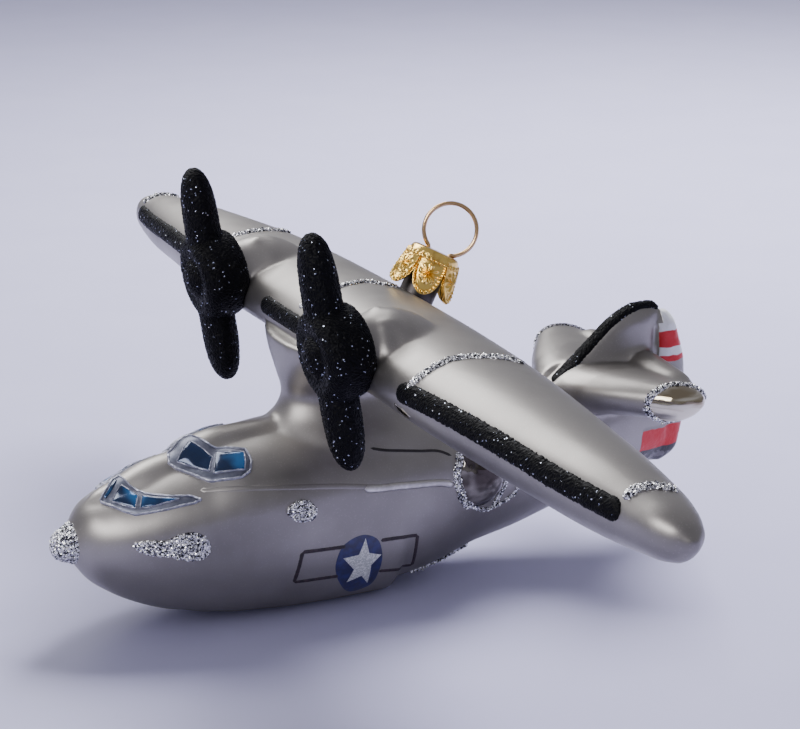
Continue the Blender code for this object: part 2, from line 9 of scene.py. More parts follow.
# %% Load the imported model
import math

import bmesh
import bpy
import numpy as np
from mathutils import Matrix, Vector


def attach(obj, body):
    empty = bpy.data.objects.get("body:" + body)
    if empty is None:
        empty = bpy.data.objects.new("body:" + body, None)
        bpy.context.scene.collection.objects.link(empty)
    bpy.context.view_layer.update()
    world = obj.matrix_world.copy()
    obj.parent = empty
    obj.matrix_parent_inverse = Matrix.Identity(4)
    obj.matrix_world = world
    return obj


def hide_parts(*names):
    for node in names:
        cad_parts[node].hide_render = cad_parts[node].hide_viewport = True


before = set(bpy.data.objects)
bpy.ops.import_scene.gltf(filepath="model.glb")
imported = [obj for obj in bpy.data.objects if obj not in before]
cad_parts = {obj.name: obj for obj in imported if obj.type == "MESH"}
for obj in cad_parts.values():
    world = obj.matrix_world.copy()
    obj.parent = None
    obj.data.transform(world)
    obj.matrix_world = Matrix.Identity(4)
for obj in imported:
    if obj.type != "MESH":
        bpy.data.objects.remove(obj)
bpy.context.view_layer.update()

# %% [markdown]
# ## Measures
#
# Blender works in metres, but a small ornament is easier to think about in millimetres. A station is how
# far a place lies behind the tip of the nose, and a waterline is how high it lies above the table. One
# small function turns stations and waterlines into Blender's metres.

# %% Millimetres, stations and waterlines
MM = 0.001
ORIGIN_STATION = 68.5
SIDES = {"port": 1, "starboard": -1}


def place(x, station, waterline):
    """Metres in Blender's axes: x to port, station less the origin's station along Y, waterline up."""
    x, station, waterline = np.broadcast_arrays(x, station, waterline)
    return np.stack([x, station - ORIGIN_STATION, waterline], axis=-1) * MM


def read(table, column, at):
    """A table's column between its rows, along cubic curves that pass through every row without a corner."""
    rows = np.array(table)
    xs, ys = rows[:, 0], rows[:, column]
    slope = np.gradient(ys, xs)
    i = np.clip(np.searchsorted(xs, at) - 1, 0, len(xs) - 2)
    step = xs[i + 1] - xs[i]
    t = np.clip((at - xs[i]) / step, 0, 1)
    start = (2 * t**3 - 3 * t**2 + 1) * ys[i] + (t**3 - 2 * t**2 + t) * step * slope[i]
    end = (3 * t**2 - 2 * t**3) * ys[i + 1] + (t**3 - t**2) * step * slope[i + 1]
    return start + end


def power(value, exponent):
    """A signed power, which squares off a circle's sine or cosine."""
    return np.sign(value) * np.abs(value) ** exponent


def around(count):
    """Angles once round, without the last, which would repeat the first."""
    return np.linspace(0, 2 * math.pi, count, endpoint=False)


# %% [markdown]
# ## Turning a grid of points into a mesh
#
# Almost every piece is a grid: rows of points that each go once round the piece. Rows are joined by
# four-sided faces, and the first and last rows are closed by one flat face each. NumPy makes all the faces
# at once.


# %% A grid of closed rows becomes a solid
def mesh_from_rows(name, rows):
    """rows[i, j] is point j of row i. Each face joins points j and j + 1 of rows i and i + 1, and wraps round."""
    count, around_count = rows.shape[:2]
    index = np.arange(count * around_count).reshape(count, around_count)
    after = np.roll(index, -1, axis=1)
    faces = np.stack([index[:-1], after[:-1], after[1:], index[1:]], axis=-1).reshape(-1, 4)
    mesh = bpy.data.meshes.new(name)
    ends = [index[0, ::-1].tolist(), index[-1].tolist()]
    mesh.from_pydata(rows.reshape(-1, 3).tolist(), [], faces.tolist() + ends)
    tidy(mesh)
    return mesh


def tidy(mesh, angle=40):
    """Merges doubles, turns every face outwards, and smooths all edges but the sharp ones."""
    work = bmesh.new()
    work.from_mesh(mesh)
    bmesh.ops.remove_doubles(work, verts=work.verts, dist=0.000002)
    bmesh.ops.recalc_face_normals(work, faces=work.faces)
    work.to_mesh(mesh)
    work.free()
    mesh.shade_smooth()
    mesh.set_sharp_from_angle(angle=math.radians(angle))


def show(name, mesh):
    """A mesh becomes an object at the scene's origin."""
    piece = bpy.data.objects.new(name, mesh)
    bpy.context.scene.collection.objects.link(piece)
    return piece


def solid(name, rows):
    return show(name, mesh_from_rows(name, rows))


def evaluated(piece):
    """A piece's mesh with its modifiers worked out."""
    bpy.context.view_layer.update()
    return bpy.data.meshes.new_from_object(piece.evaluated_get(bpy.context.evaluated_depsgraph_get()))


def discard(piece):
    bpy.data.objects.remove(piece, do_unlink=True)


def grainy(piece):
    """Flat faces all over a piece, so that every face of a gritty mesh glints like a grain of its own."""
    piece.data.shade_flat()
    return piece


def points_of(mesh):
    """All of a mesh's points as one array."""
    flat = np.empty(len(mesh.vertices) * 3)
    mesh.vertices.foreach_get("co", flat)
    return flat.reshape(-1, 3)


# %% [markdown]
# ## The hull
#
# The hull is drawn as a boat builder would, with cross-sections at stations along its length. Each section
# is a superellipse: an ellipse whose power can be raised to square its shoulders. The bottom is cut off
# flat where it rests on the table. Behind the step the sections start afresh and higher.

# %% Sections of the hull
# Columns: station, half width, crest, beam height, keel height, upper power, lower power.
FOREBODY = (
    (3.6, 3.4, 21.6, 18.3, 15.0, 2.0, 2.0),
    (6.0, 6.6, 24.8, 18.5, 11.4, 2.0, 2.0),
    (10.0, 9.6, 26.9, 19.2, 8.0, 2.0, 2.0),
    (16.0, 12.3, 28.9, 20.4, 4.6, 2.0, 2.1),
    (20.5, 13.6, 30.5, 21.2, 2.9, 2.0, 2.2),
    (24.5, 14.5, 31.5, 21.8, 1.9, 2.0, 2.2),
    (27.0, 14.9, 32.1, 22.1, 1.2, 2.0, 2.3),
    (30.0, 15.4, 33.5, 22.6, 0.7, 2.0, 2.3),
    (33.0, 15.8, 34.6, 22.9, 0.2, 2.0, 2.4),
    (36.5, 16.1, 35.0, 23.2, -0.1, 2.0, 2.4),
    (42.0, 16.5, 35.3, 23.5, -0.5, 2.1, 2.5),
    (52.0, 16.8, 36.1, 23.8, -0.8, 2.1, 2.6),
    (65.0, 16.7, 36.6, 23.2, -0.8, 2.1, 2.6),
)
# A soft ridge that runs over the bow, steps up as the cockpit's brow, and fades into the deck.
RIDGE = (
    (6.5, 2.5, 25.4, 19.0, 14.0, 2.0, 2.0),
    (8.4, 4.0, 27.2, 19.0, 12.0, 2.0, 2.0),
    (10.1, 5.0, 28.1, 19.5, 10.0, 2.0, 2.0),
    (12.6, 6.0, 29.0, 20.0, 8.0, 2.0, 2.0),
    (15.1, 6.5, 30.3, 20.5, 8.0, 2.0, 2.0),
    (17.6, 7.0, 31.4, 21.0, 8.0, 2.0, 2.0),
    (20.2, 7.2, 32.2, 21.0, 8.0, 2.0, 2.0),
    (22.7, 7.4, 32.7, 21.5, 8.0, 2.0, 2.0),
    (24.3, 7.4, 32.9, 22.0, 8.0, 2.0, 2.0),
    (25.3, 7.6, 33.8, 22.0, 8.0, 2.0, 2.0),
    (26.4, 7.8, 34.7, 22.0, 8.0, 2.0, 2.0),
    (28.1, 8.0, 35.2, 22.5, 8.0, 2.0, 2.0),
    (31.2, 8.0, 36.0, 22.5, 8.0, 2.0, 2.0),
    (35.0, 8.0, 36.4, 23.0, 8.0, 2.0, 2.0),
    (40.2, 8.0, 36.6, 23.0, 8.0, 2.0, 2.0),
    (52.0, 8.0, 36.8, 23.0, 8.0, 2.0, 2.0),
)
AFTERBODY = (
    (63.0, 16.6, 36.6, 23.2, 1.2, 2.1, 2.5),
    (65.3, 16.6, 36.6, 23.2, 1.2, 2.1, 2.5),
    (71.0, 16.2, 36.4, 23.0, 1.4, 2.1, 2.3),
    (77.0, 15.6, 36.2, 22.8, 2.0, 2.1, 2.0),
    (84.0, 14.3, 35.9, 22.6, 4.0, 2.0, 1.9),
    (95.0, 11.8, 35.4, 22.6, 6.0, 2.0, 1.9),
    (106.0, 9.4, 34.9, 23.0, 8.8, 2.0, 1.9),
    (114.0, 7.8, 34.8, 23.8, 11.0, 2.0, 2.0),
    (122.0, 6.2, 34.4, 24.4, 13.0, 2.0, 2.0),
    (131.0, 4.3, 33.5, 24.6, 14.5, 2.0, 2.0),
)


def hull_rows(table, count):
    """Half width times cosine to the 2/power, and beam height plus rise or fall times sine to the 2/power."""
    at = np.linspace(table[0][0], table[-1][0], count)[:, None]
    turn = around(112)[None, :]
    upper = np.sin(turn) >= 0
    square = np.where(upper, read(table, 5, at), read(table, 6, at))
    beam = read(table, 3, at)
    rise = np.where(upper, read(table, 2, at) - beam, beam - read(table, 4, at))
    x = read(table, 1, at) * power(np.cos(turn), 2 / square)
    height = beam + rise * power(np.sin(turn), 2 / square)
    return place(x, at, np.maximum(height, 0.0))


HULL_BLANKS = {"forebody": FOREBODY, "ridge": RIDGE, "afterbody": AFTERBODY}
blanks = [solid("blank_" + name, hull_rows(table, 100)) for name, table in HULL_BLANKS.items()]
print("hull blanks:", [len(piece.data.vertices) for piece in blanks])

# %% [markdown]
# ## The wing
#
# A wing is a section swept from tip to tip. Glass can't hold a knife edge, so the section is a mean of an
# aerofoil and an ellipse, thick in front and still rounded behind. The whole wing leans nose down, as in
# the photograph.

# %% Sections of the wing
# Columns: distance from the centre line, front station and height, back station and height, half thickness.
WING = (
    (0.0, 48.4, 53.3, 73.6, 57.2, 6.1),
    (30.0, 48.4, 53.0, 73.6, 56.8, 6.1),
    (48.0, 49.0, 52.4, 73.4, 56.1, 6.2),
    (76.0, 52.2, 50.9, 71.8, 54.3, 6.3),
    (100.0, 55.6, 49.8, 69.6, 52.4, 5.7),
    (107.0, 57.0, 49.6, 68.4, 51.8, 4.9),
    (112.0, 58.4, 49.5, 66.8, 50.9, 4.0),
    (114.6, 60.2, 49.5, 65.2, 50.3, 2.7),
    (115.6, 61.6, 49.7, 63.8, 50.2, 1.4),
)


def section(count):
    """Chord is half of one less the cosine. Thickness is the mean of the ellipse and the four-digit aerofoil."""
    turn = around(count)
    chord = (1 - np.cos(turn)) / 2
    ellipse = 2 * np.sqrt(chord * (1 - chord))
    tapered = (0.2969 * np.sqrt(chord) - 0.126 * chord - 0.3516 * chord**2 + 0.2843 * chord**3
               - 0.1015 * chord**4) / 0.1
    return chord[None, :], ((ellipse + tapered) / 2 * np.sign(np.sin(turn)))[None, :]


def wing_rows(spans):
    """Each point lies on the chord line plus the thickness times the half thickness, square to the chord."""
    chord, thick = section(96)
    reach = np.abs(spans)[:, None]
    front, low, back, high, half = (read(WING, k, reach) for k in range(1, 6))
    run, lift = back - front, high - low
    length = np.hypot(run, lift)
    station = front + chord * run - thick * half * lift / length
    height = low + chord * lift + thick * half * run / length
    return place(spans[:, None], station, height)


HALF_SPAN = 116.0
out = HALF_SPAN * np.sin(np.linspace(0, math.pi / 2, 120))
blanks.append(solid("blank_wing", wing_rows(np.concatenate([-out[::-1], out[1:]]))))
print("wing span, mm:", 2 * out[-1])

# %% [markdown]
# ## Pylon, nacelles, fin and stabilisers
#
# These are lofts too. They only need to run well into their neighbours, because the next step melts them
# together.


# %% Lofts from tables of ovals
def upright_rows(table, count, side_power, end_power):
    """Level ovals: half width times sine to a power, and middle less half the length times cosine to a power."""
    at = np.linspace(table[0][0], table[-1][0], count)[:, None]
    turn = around(72)[None, :]
    front, back, half = (read(table, k, at) for k in (1, 2, 3))
    station = (front + back) / 2 - (back - front) / 2 * power(np.cos(turn), end_power)
    return place(half * power(np.sin(turn), side_power), station, at)


def nacelle_rows(table, side, count=60):
    """Ovals across the flight line, centred on the engine: half width times cosine, half height times sine."""
    at = np.linspace(table[0][0], table[-1][0], count)[:, None]
    turn = around(64)[None, :]
    height, half_width, half_height = (read(table, k, at) for k in (1, 2, 3))
    return place(side * ENGINE_X + half_width * np.cos(turn), at, height + half_height * np.sin(turn))


def stabiliser_rows(table, side, count=48):
    """The wing's section again, on a short span: station along the chord, height plus or minus the thickness."""
    chord, thick = section(72)
    at = np.linspace(table[0][0], table[-1][0], count)[:, None]
    front, back, height, half = (read(table, k, at) for k in (1, 2, 3, 4))
    return place(side * at, front + chord * (back - front), height + thick * half)


def ball_rows(centre, radii, turns=32, rows=20):
    """An ellipsoid: each radius times the sines and cosines of a longitude and a latitude."""
    tilt = np.linspace(-math.pi / 2 + 0.03, math.pi / 2 - 0.03, rows)[:, None]
    turn = around(turns)[None, :]
    return place(centre[0] + radii[0] * np.cos(tilt) * np.cos(turn),
                 centre[1] + radii[1] * np.cos(tilt) * np.sin(turn),
                 centre[2] + radii[2] * np.sin(tilt) + 0 * turn)


ENGINE_X = 28.7
# Columns: waterline, front station, back station, half width.
PYLON = (
    (29.0, 39.0, 88.0, 15.0),
    (34.0, 42.6, 82.0, 12.4),
    (37.5, 45.6, 78.0, 8.8),
    (41.0, 47.0, 76.0, 7.2),
    (45.0, 46.4, 75.0, 10.4),
    (49.0, 45.8, 75.0, 15.2),
    (52.0, 45.8, 75.0, 18.2),
)
FIN = (
    (31.0, 100.0, 129.5, 5.2),
    (36.0, 106.6, 129.5, 4.3),
    (39.5, 111.2, 129.5, 3.3),
    (43.0, 115.4, 129.6, 2.7),
    (45.9, 119.0, 130.2, 2.4),
    (47.6, 121.8, 130.2, 1.6),
    (48.5, 123.8, 129.4, 0.7),
)
RUDDER = (
    (14.4, 129.5, 132.0, 2.0),
    (16.0, 129.0, 134.6, 2.9),
    (20.0, 128.5, 136.3, 3.4),
    (28.0, 128.5, 136.8, 3.4),
    (33.5, 128.8, 136.9, 3.3),
    (36.5, 128.9, 136.7, 3.1),
    (41.0, 129.1, 135.4, 2.8),
    (45.0, 129.4, 134.0, 2.2),
    (46.8, 130.2, 132.6, 1.2),
)
# Columns: station, waterline, half width, half height.
NACELLE = (
    (48.5, 57.5, 6.0, 6.2),
    (50.4, 57.0, 6.3, 6.8),
    (52.8, 56.2, 6.9, 8.0),
    (55.6, 55.9, 7.6, 8.6),
    (58.8, 56.0, 7.2, 7.6),
    (62.0, 56.4, 5.2, 5.6),
    (65.0, 56.6, 2.6, 3.0),
)
# Columns: distance from the centre line, front station, back station, waterline, half thickness.
STABILISER = (
    (2.0, 103.6, 130.2, 33.0, 5.6),
    (8.0, 106.0, 130.2, 34.0, 4.9),
    (13.5, 108.8, 129.6, 34.6, 4.3),
    (19.0, 112.4, 128.6, 35.0, 3.9),
    (24.3, 116.4, 126.8, 35.1, 3.5),
    (25.8, 117.8, 125.6, 35.2, 2.9),
    (26.9, 119.8, 124.2, 35.3, 1.7),
)
# Swellings of the glass, each a row of balls: its first and last centre, their radius, and their number.
SWELLINGS = {
    "knob": ((27.4, 53.6, 62.8), (31.8, 54.2, 61.9), 1.9, 9),
    "rib": ((31.8, 52.6, 61.8), (34.9, 52.3, 57.6), 1.8, 9),
    "shoulder": ((38.2, 55.4, 57.7), (42.2, 50.9, 55.0), 1.9, 11),
    "tail_root": ((5.0, 125.0, 35.5), (15.5, 124.6, 34.8), 4.3, 11),
}
blanks.append(solid("blank_pylon", upright_rows(PYLON, 60, 0.9, 0.8)))
blanks.append(solid("blank_fin", upright_rows(FIN, 60, 0.8, 0.9)))
blanks.append(solid("blank_rudder", upright_rows(RUDDER, 70, 0.8, 0.9)))
for side_name, side in SIDES.items():
    blanks.append(solid("blank_nacelle_" + side_name, nacelle_rows(NACELLE, side)))
    for name, (first, last, radius, count) in SWELLINGS.items():
        for share in np.linspace(0, 1, count):
            x, station, waterline = np.array(first) * (1 - share) + np.array(last) * share
            ball = ball_rows((side * x, station, waterline), (radius, radius, radius))
            blanks.append(solid("blank_%s_%s" % (name, side_name), ball))
    blanks.append(solid("blank_stabiliser_" + side_name, stabiliser_rows(STABILISER, side)))
print("blanks so far:", len(blanks))

# %% [markdown]
# ## The neck's own frame
#
# The neck leans aft, and the cap's ring is turned on it. Both are drawn upright about Z in a frame of their
# own, and one matrix then carries them to their place.

# %% The frame of the neck and cap
NECK_LEAN = math.radians(27.8)
CAP_TURN = math.radians(63.7)
CAP_TOP = place(0.0, 79.6, 65.2)
neck_frame = (Matrix.Translation(Vector(CAP_TOP.tolist())) @ Matrix.Rotation(-NECK_LEAN, 4, "X")
              @ Matrix.Rotation(CAP_TURN, 4, "Z"))
NECK_RADIUS = 3.55
NECK_BORE = 2.75
NECK_LENGTH = 15.5


def at_neck(rows):
    """Points in the neck's frame, in millimetres, carried to the row frame in metres."""
    turn = np.array(neck_frame)
    return rows * MM @ turn[:3, :3].T + turn[:3, 3]


def turned_rows(profile, count):
    """A profile of radius and height carried round Z: x is radius times cosine, y is radius times sine."""
    radius, height = (np.array(column)[:, None] for column in zip(*profile))
    turn = around(count)[None, :]
    return np.stack([radius * np.cos(turn), radius * np.sin(turn), height + 0 * turn], axis=-1)


boss = [(2.0, -27.0), (4.6, -26.0), (4.6, -16.5), (4.3, -15.0), (3.8, -12.5), (3.5, -11.5), (1.0, -11.5)]
blanks.append(solid("blank_boss", at_neck(turned_rows(boss, 48))))

# %% [markdown]
# ## Melting the blanks into one bubble of glass
#
# Hot glass has no sharp inside corners: where the pylon meets the hull the surface flows. Filleting all
# these solids by hand would be slow and fragile. A voxel remesh walks over the outside of all of them at
# once, and a few rounds of smoothing then draw the creases soft. The result is cut up again below, so that
# each part keeps its own name.

# %% Remesh and smooth
VOXEL = 0.5 * MM
SMOOTH_ROUNDS = 14
whole = bmesh.new()
for blank in blanks:
    whole.from_mesh(blank.data)
    discard(blank)
whole_mesh = bpy.data.meshes.new("glass")
whole.to_mesh(whole_mesh)
whole.free()
glass = show("glass", whole_mesh)
melt = glass.modifiers.new("melt", "REMESH")
melt.mode = "VOXEL"
melt.voxel_size = VOXEL
soften = glass.modifiers.new("soften", "SMOOTH")
soften.factor = 0.5
soften.iterations = SMOOTH_ROUNDS
glass_mesh = evaluated(glass)
glass.modifiers.clear()
glass.data = glass_mesh
glass_mesh.shade_smooth()
print("glass points:", len(glass_mesh.vertices))

# %% [markdown]
# ## Cutting the glass at the ends of its parts
#
# Each part is the glass between a few flat cuts. A vector attribute carries the whole bubble's normals
# through the cuts, so that light runs on across each join and no line shows.

# %% Cuts and the parts between them
STEP, TAIL, HINGE = 65.15, 106.15, 130.55
AFT_OF_WING = 98.0
DECK, BAY_IN, BAY_OUT, TIP, ROOT, END = 37.4, 19.6, 38.0, 100.0, 9.6, 22.35
UNDER_WING = (place(0.0, 61.0, 49.3), np.array([0.0, -0.153, 0.988]))


def cut(axis, value, sign):
    """A plane square to an axis. Sign 1 keeps what lies below the value, and -1 what lies above it."""
    normal = np.zeros(3)
    normal[axis] = sign
    where = [value, value - ORIGIN_STATION, value][axis] * MM
    return np.abs(normal) * where, normal


X, S, W = 0, 1, 2
parts = {
    "hull_forebody": [cut(S, STEP, 1), cut(W, DECK, 1)],
    "hull_afterbody": [cut(S, STEP, -1), cut(S, TAIL, 1), cut(W, DECK, 1)],
    "tail_cone": [cut(S, TAIL, -1), cut(S, HINGE, 1), cut(W, DECK, 1), cut(X, ROOT, 1), cut(X, -ROOT, -1)],
    "fin": [cut(S, AFT_OF_WING, -1), cut(S, HINGE, 1), cut(W, DECK, -1), cut(X, ROOT, 1), cut(X, -ROOT, -1)],
    "rudder": [cut(S, HINGE, -1)],
    "pylon": [cut(S, AFT_OF_WING, 1), cut(W, DECK, -1), UNDER_WING, cut(X, BAY_IN, 1), cut(X, -BAY_IN, -1)],
    "wing_centre": [cut(S, AFT_OF_WING, 1), (UNDER_WING[0], -UNDER_WING[1]), cut(X, BAY_IN, 1),
                    cut(X, -BAY_IN, -1)],
}
for side_name, side in SIDES.items():
    parts["nacelle_" + side_name] = [cut(S, AFT_OF_WING, 1), cut(X, side * BAY_IN, -side),
                                     cut(X, side * BAY_OUT, side)]
    parts["wing_panel_" + side_name] = [cut(X, side * BAY_OUT, -side), cut(X, side * TIP, side)]
    parts["wing_tip_" + side_name] = [cut(X, side * TIP, -side)]
    parts["stabiliser_" + side_name] = [cut(S, AFT_OF_WING, -1), cut(S, HINGE, 1), cut(X, side * ROOT, -side),
                                        cut(X, side * END, side)]
    parts["stabiliser_end_" + side_name] = [cut(S, AFT_OF_WING, -1), cut(X, side * END, -side), cut(S, HINGE, 1)]

# %% Make each part


def part_of_glass(name, planes):
    """Bisects a copy of the glass by each plane, drops what lies outside, and closes each hole with a face."""
    work = bmesh.new()
    work.from_mesh(glass_mesh)
    layer = work.verts.layers.float_vector.new("flow")
    for vert in work.verts:
        vert[layer] = vert.normal
    caps = []
    for point, normal in planes:
        everything = work.verts[:] + work.edges[:] + work.faces[:]
        made = bmesh.ops.bisect_plane(work, geom=everything, plane_co=Vector(point.tolist()),
                                      plane_no=Vector(normal.tolist()), clear_outer=True, dist=1e-8)
        edges = [item for item in made["geom_cut"] if isinstance(item, bmesh.types.BMEdge)]
        if edges:
            filled = bmesh.ops.holes_fill(work, edges=edges, sides=0)
            caps += filled["faces"]
    mesh = bpy.data.meshes.new(name)
    cap_normals = {}
    work.faces.index_update()
    for face in caps:
        if face.is_valid:
            face.normal_update()
            cap_normals[face.index] = face.normal.copy()
    work.to_mesh(mesh)
    work.free()
    flow = np.empty(len(mesh.vertices) * 3)
    mesh.attributes["flow"].data.foreach_get("vector", flow)
    corner = np.empty(len(mesh.loops), dtype=np.int32)
    mesh.loops.foreach_get("vertex_index", corner)
    normals = flow.reshape(-1, 3)[corner]
    normals /= np.maximum(np.linalg.norm(normals, axis=1, keepdims=True), 1e-9)
    for index, normal in cap_normals.items():
        face = mesh.polygons[index]
        normals[face.loop_start:face.loop_start + face.loop_total] = normal
    mesh.attributes.remove(mesh.attributes["flow"])
    mesh.shade_smooth()
    mesh.normals_split_custom_set(normals.tolist())
    return show("glass_" + name, mesh)


glass_parts = {name: part_of_glass(name, planes) for name, planes in parts.items()}
print({name: len(piece.data.polygons) for name, piece in glass_parts.items()})

# %% [markdown]
# ## Laying trim on the glass
#
# Glitter on the real ornament is ground glass shaken on to stripes of wet glue. The windows, the star and
# the seam lie on the surface too. Each of them is a thin pad that has to follow the glass exactly. Working
# that out from the lofts would be hard after the melt, so a Shrinkwrap modifier finds the nearest place on
# the glass for a whole cloud of points at once. Its offset then gives the direction out of the surface.


# %% Points laid on the glass
def laid(points, lift=0.0):
    """Every point moved to the nearest place on the glass, then out of it by the lift."""
    mesh = bpy.data.meshes.new("cloud")
    mesh.from_pydata(points.reshape(-1, 3).tolist(), [], [])
    cloud = show("cloud", mesh)
    wrap = cloud.modifiers.new("wrap", "SHRINKWRAP")
    wrap.target = glass
    wrap.wrap_method = "NEAREST_SURFACEPOINT"
    wrap.wrap_mode = "ABOVE_SURFACE"
    wrap.offset = lift
    moved = points_of(evaluated(cloud)).reshape(points.shape)
    discard(cloud)
    return moved


def unit(vectors):
    """Vectors cut to a length of one."""
    return vectors / np.maximum(np.linalg.norm(vectors, axis=-1, keepdims=True), 1e-12)


def outward(points):
    """The way out of the glass at each point: the difference between two layings a millimetre apart."""
    return unit(laid(points, MM) - laid(points))


def travelled(points):
    """The distance along a row of points from the first one."""
    return np.concatenate([[0.0], np.cumsum(np.linalg.norm(np.diff(points, axis=0), axis=1))])


def path(knots, step=0.3):
    """A smooth curve through knots of x, station and waterline, read at even steps of its length."""
    places = place(*np.array(knots, dtype=float).T)
    gone = travelled(places)
    at = np.linspace(0, gone[-1], max(int(gone[-1] / (step * MM)), 6))
    return np.stack([read(np.column_stack([gone, places[:, k]]), 1, at) for k in range(3)], axis=-1)


def mirrored(knots, side):
    """The same knots on the port or the starboard side."""
    return [(side * x, station, waterline) for x, station, waterline in knots]


# %% [markdown]
# ## Beads and pads
#
# A stripe of trim is a bead: a ridge with rounded edges and round ends that runs along a path. A spot of
# trim is a pad: rings that shrink from an outline to its middle. Both are closed solids whose undersides
# lie just inside the glass, so nothing floats and nothing shows an open edge.

# %% A bead along a path, and a pad inside an outline
TRIM_SINK = 0.25 * MM
EDGE_SHAKE, TOP_SHAKE, PAD_SHAKE = 0.22, (-0.55, 0.45), (-0.6, 0.5)


def bead(name, knots, width, rise, grit=0.0, step=0.3, across=9, seed=1):
    """A ridge of trim along a path on the glass, and the bed of its top face.

    The half width falls to nothing at both ends as a circle's does. The top's height is the rise times one less
    the fourth power of the distance from the middle. Grit shakes heights and edges by seeded random parts.
    """
    dice = np.random.default_rng(seed)
    spine = laid(path(knots, step))
    side = unit(np.cross(outward(spine), np.gradient(spine, axis=0)))
    gone = travelled(spine)
    room = np.minimum(gone, gone[-1] - gone) / (width / 2 * MM)
    full = np.sqrt(np.maximum(1 - np.maximum(1 - room, 0) ** 2, 0.004))[:, None]
    v = np.linspace(-1, 1, across)[None, :]
    ragged = 1 + grit * dice.uniform(-EDGE_SHAKE, EDGE_SHAKE, (len(spine), 1))
    grid = spine[:, None] + side[:, None] * (v * full * ragged * width / 2 * MM)[..., None]
    base, up = laid(grid), outward(grid)
    height = rise * MM * full * (1 - v**4) * (1 + grit * dice.uniform(*TOP_SHAKE, (len(spine), across)))
    top = base + up * height[..., None]
    under = base - up * TRIM_SINK
    piece = solid(name, np.concatenate([top, under[:, ::-1]], axis=1))
    return piece, (top, up)


def pad(name, outline, rise, grit=0.0, rings=12, seed=1, inner=0.02, foot=0.0, dome=8):
    """A raised pad inside an outline of points, and the bed of its top face.

    A ring's share of the outline falls from one to nearly nothing, faster in the middle. The height goes from
    the foot to the rise with the root of one less the share to the dome's power. A power of 8 only rounds the
    rim, and 2 makes a dome.
    """
    dice = np.random.default_rng(seed)
    middle = outline.mean(axis=0)
    share = (1 - (1 - inner) * np.linspace(0, 1, rings) ** 1.5)[:, None, None]
    grid = middle + (outline - middle) * share
    base, up = laid(grid), outward(grid)
    height = (foot + (rise - foot) * np.sqrt(np.maximum(1 - share**dome, 0))) * MM
    height = height * np.ones(grid.shape[:2] + (1,))
    height = height * (1 + grit * dice.uniform(*PAD_SHAKE, height.shape))
    top = base + up * height
    under = base[:1] - up[:1] * TRIM_SINK
    piece = solid(name, np.concatenate([under, top]))
    return piece, (top, up)


def keep(made, pieces, beds):
    """Files a bead or a pad among its kind, and its bed among those that flakes are thrown on."""
    pieces.append(made[0])
    beds.append(made[1])


def loop(knots, count=72):
    """A smooth closed curve through knots, as evenly spaced points without a repeat of the first."""
    lap = place(*np.array(list(knots[-2:]) + list(knots) + list(knots[:3]), dtype=float).T)
    gone = travelled(lap)
    at = np.linspace(gone[2], gone[-3], count, endpoint=False)
    return np.stack([read(np.column_stack([gone, lap[:, k]]), 1, at) for k in range(3)], axis=-1)


def sides(knots, count=10):
    """Knots along straight sides between corners, each side cut into a count of steps, without a repeat."""
    corners = np.array(knots, dtype=float)
    share = np.linspace(0, 1, count, endpoint=False)[None, :, None]
    return (corners[:, None] * (1 - share) + np.roll(corners, -1, axis=0)[:, None] * share).reshape(-1, 3)


def cornered(knots, count=10):
    """The same straight-sided outline as points in metres."""
    return place(*sides(knots, count).T)


# %% [markdown]
# ## Flakes
#
# Glitter sparkles because every flake has its own tilt. A bump in a material can't give that at a grazing
# angle, so the flakes are real: squashed six-sided double cones, thrown over the beds of glue with seeded
# dice. NumPy makes all the flakes of a bed at once from one small template of eight points and twelve
# faces.


# %% Flakes thrown over beds of glue
def flakes(name, beds, density, size, seed, tilt=0.5):
    """Glitter flakes on beds, a density of them in each square millimetre.

    A bed's cells are drawn with chances in proportion to their areas. A flake's rim is its place plus its radius
    times the cosine and sine of six angles along two directions square to its own tilted normal.
    """
    dice = np.random.default_rng(seed)
    spots, ways = [], []
    for top, up in beds:
        corners = [top[:-1, :-1], top[1:, :-1], top[:-1, 1:], top[1:, 1:]]
        area = np.linalg.norm(np.cross(corners[1] - corners[0], corners[2] - corners[0]), axis=-1).ravel()
        cell = dice.choice(area.size, int(area.sum() / MM**2 * density), p=area / area.sum())
        low_a, high_a, low_b, high_b = (corner.reshape(-1, 3)[cell] for corner in corners)
        s, t = dice.random((2, len(cell), 1))
        spots.append((low_a * (1 - s) + high_a * s) * (1 - t) + (low_b * (1 - s) + high_b * s) * t)
        ways.append(up[:-1, :-1].reshape(-1, 3)[cell])
    spots = np.concatenate(spots)[:, None]
    ways = np.concatenate(ways)[:, None]
    normal = unit(ways + dice.normal(0, tilt, spots.shape))
    first = unit(np.cross(normal, dice.normal(size=spots.shape)))
    second = np.cross(normal, first)
    turn = around(6)[None, :, None]
    radius = size * MM * dice.uniform(0.55, 1.2, (len(spots), 1, 1))
    rim = spots + radius * (first * np.cos(turn) + second * np.sin(turn))
    points = np.concatenate([rim, spots + normal * radius * 0.4, spots - normal * radius * 0.4], axis=1)
    ring = np.arange(6)
    fan = np.concatenate([np.stack([ring, np.roll(ring, -1), np.full(6, 6)], axis=1),
                          np.stack([np.roll(ring, -1), ring, np.full(6, 7)], axis=1)])
    faces = np.arange(len(spots))[:, None, None] * 8 + fan
    mesh = bpy.data.meshes.new(name)
    mesh.from_pydata(points.reshape(-1, 3).tolist(), [], faces.reshape(-1, 3).tolist())
    spark = mesh.attributes.new("spark", "FLOAT", "POINT")
    spark.data.foreach_set("value", np.repeat(dice.random(len(spots)), 8))
    return show(name, mesh)


# %% [markdown]
# ## Black glitter strips
#
# The front edges of the wing and of the fin carry broad strips of fine black glitter. They started as a
# line of glue from a bottle, so they are about 4 mm wide, with round ends and slightly ragged sides.

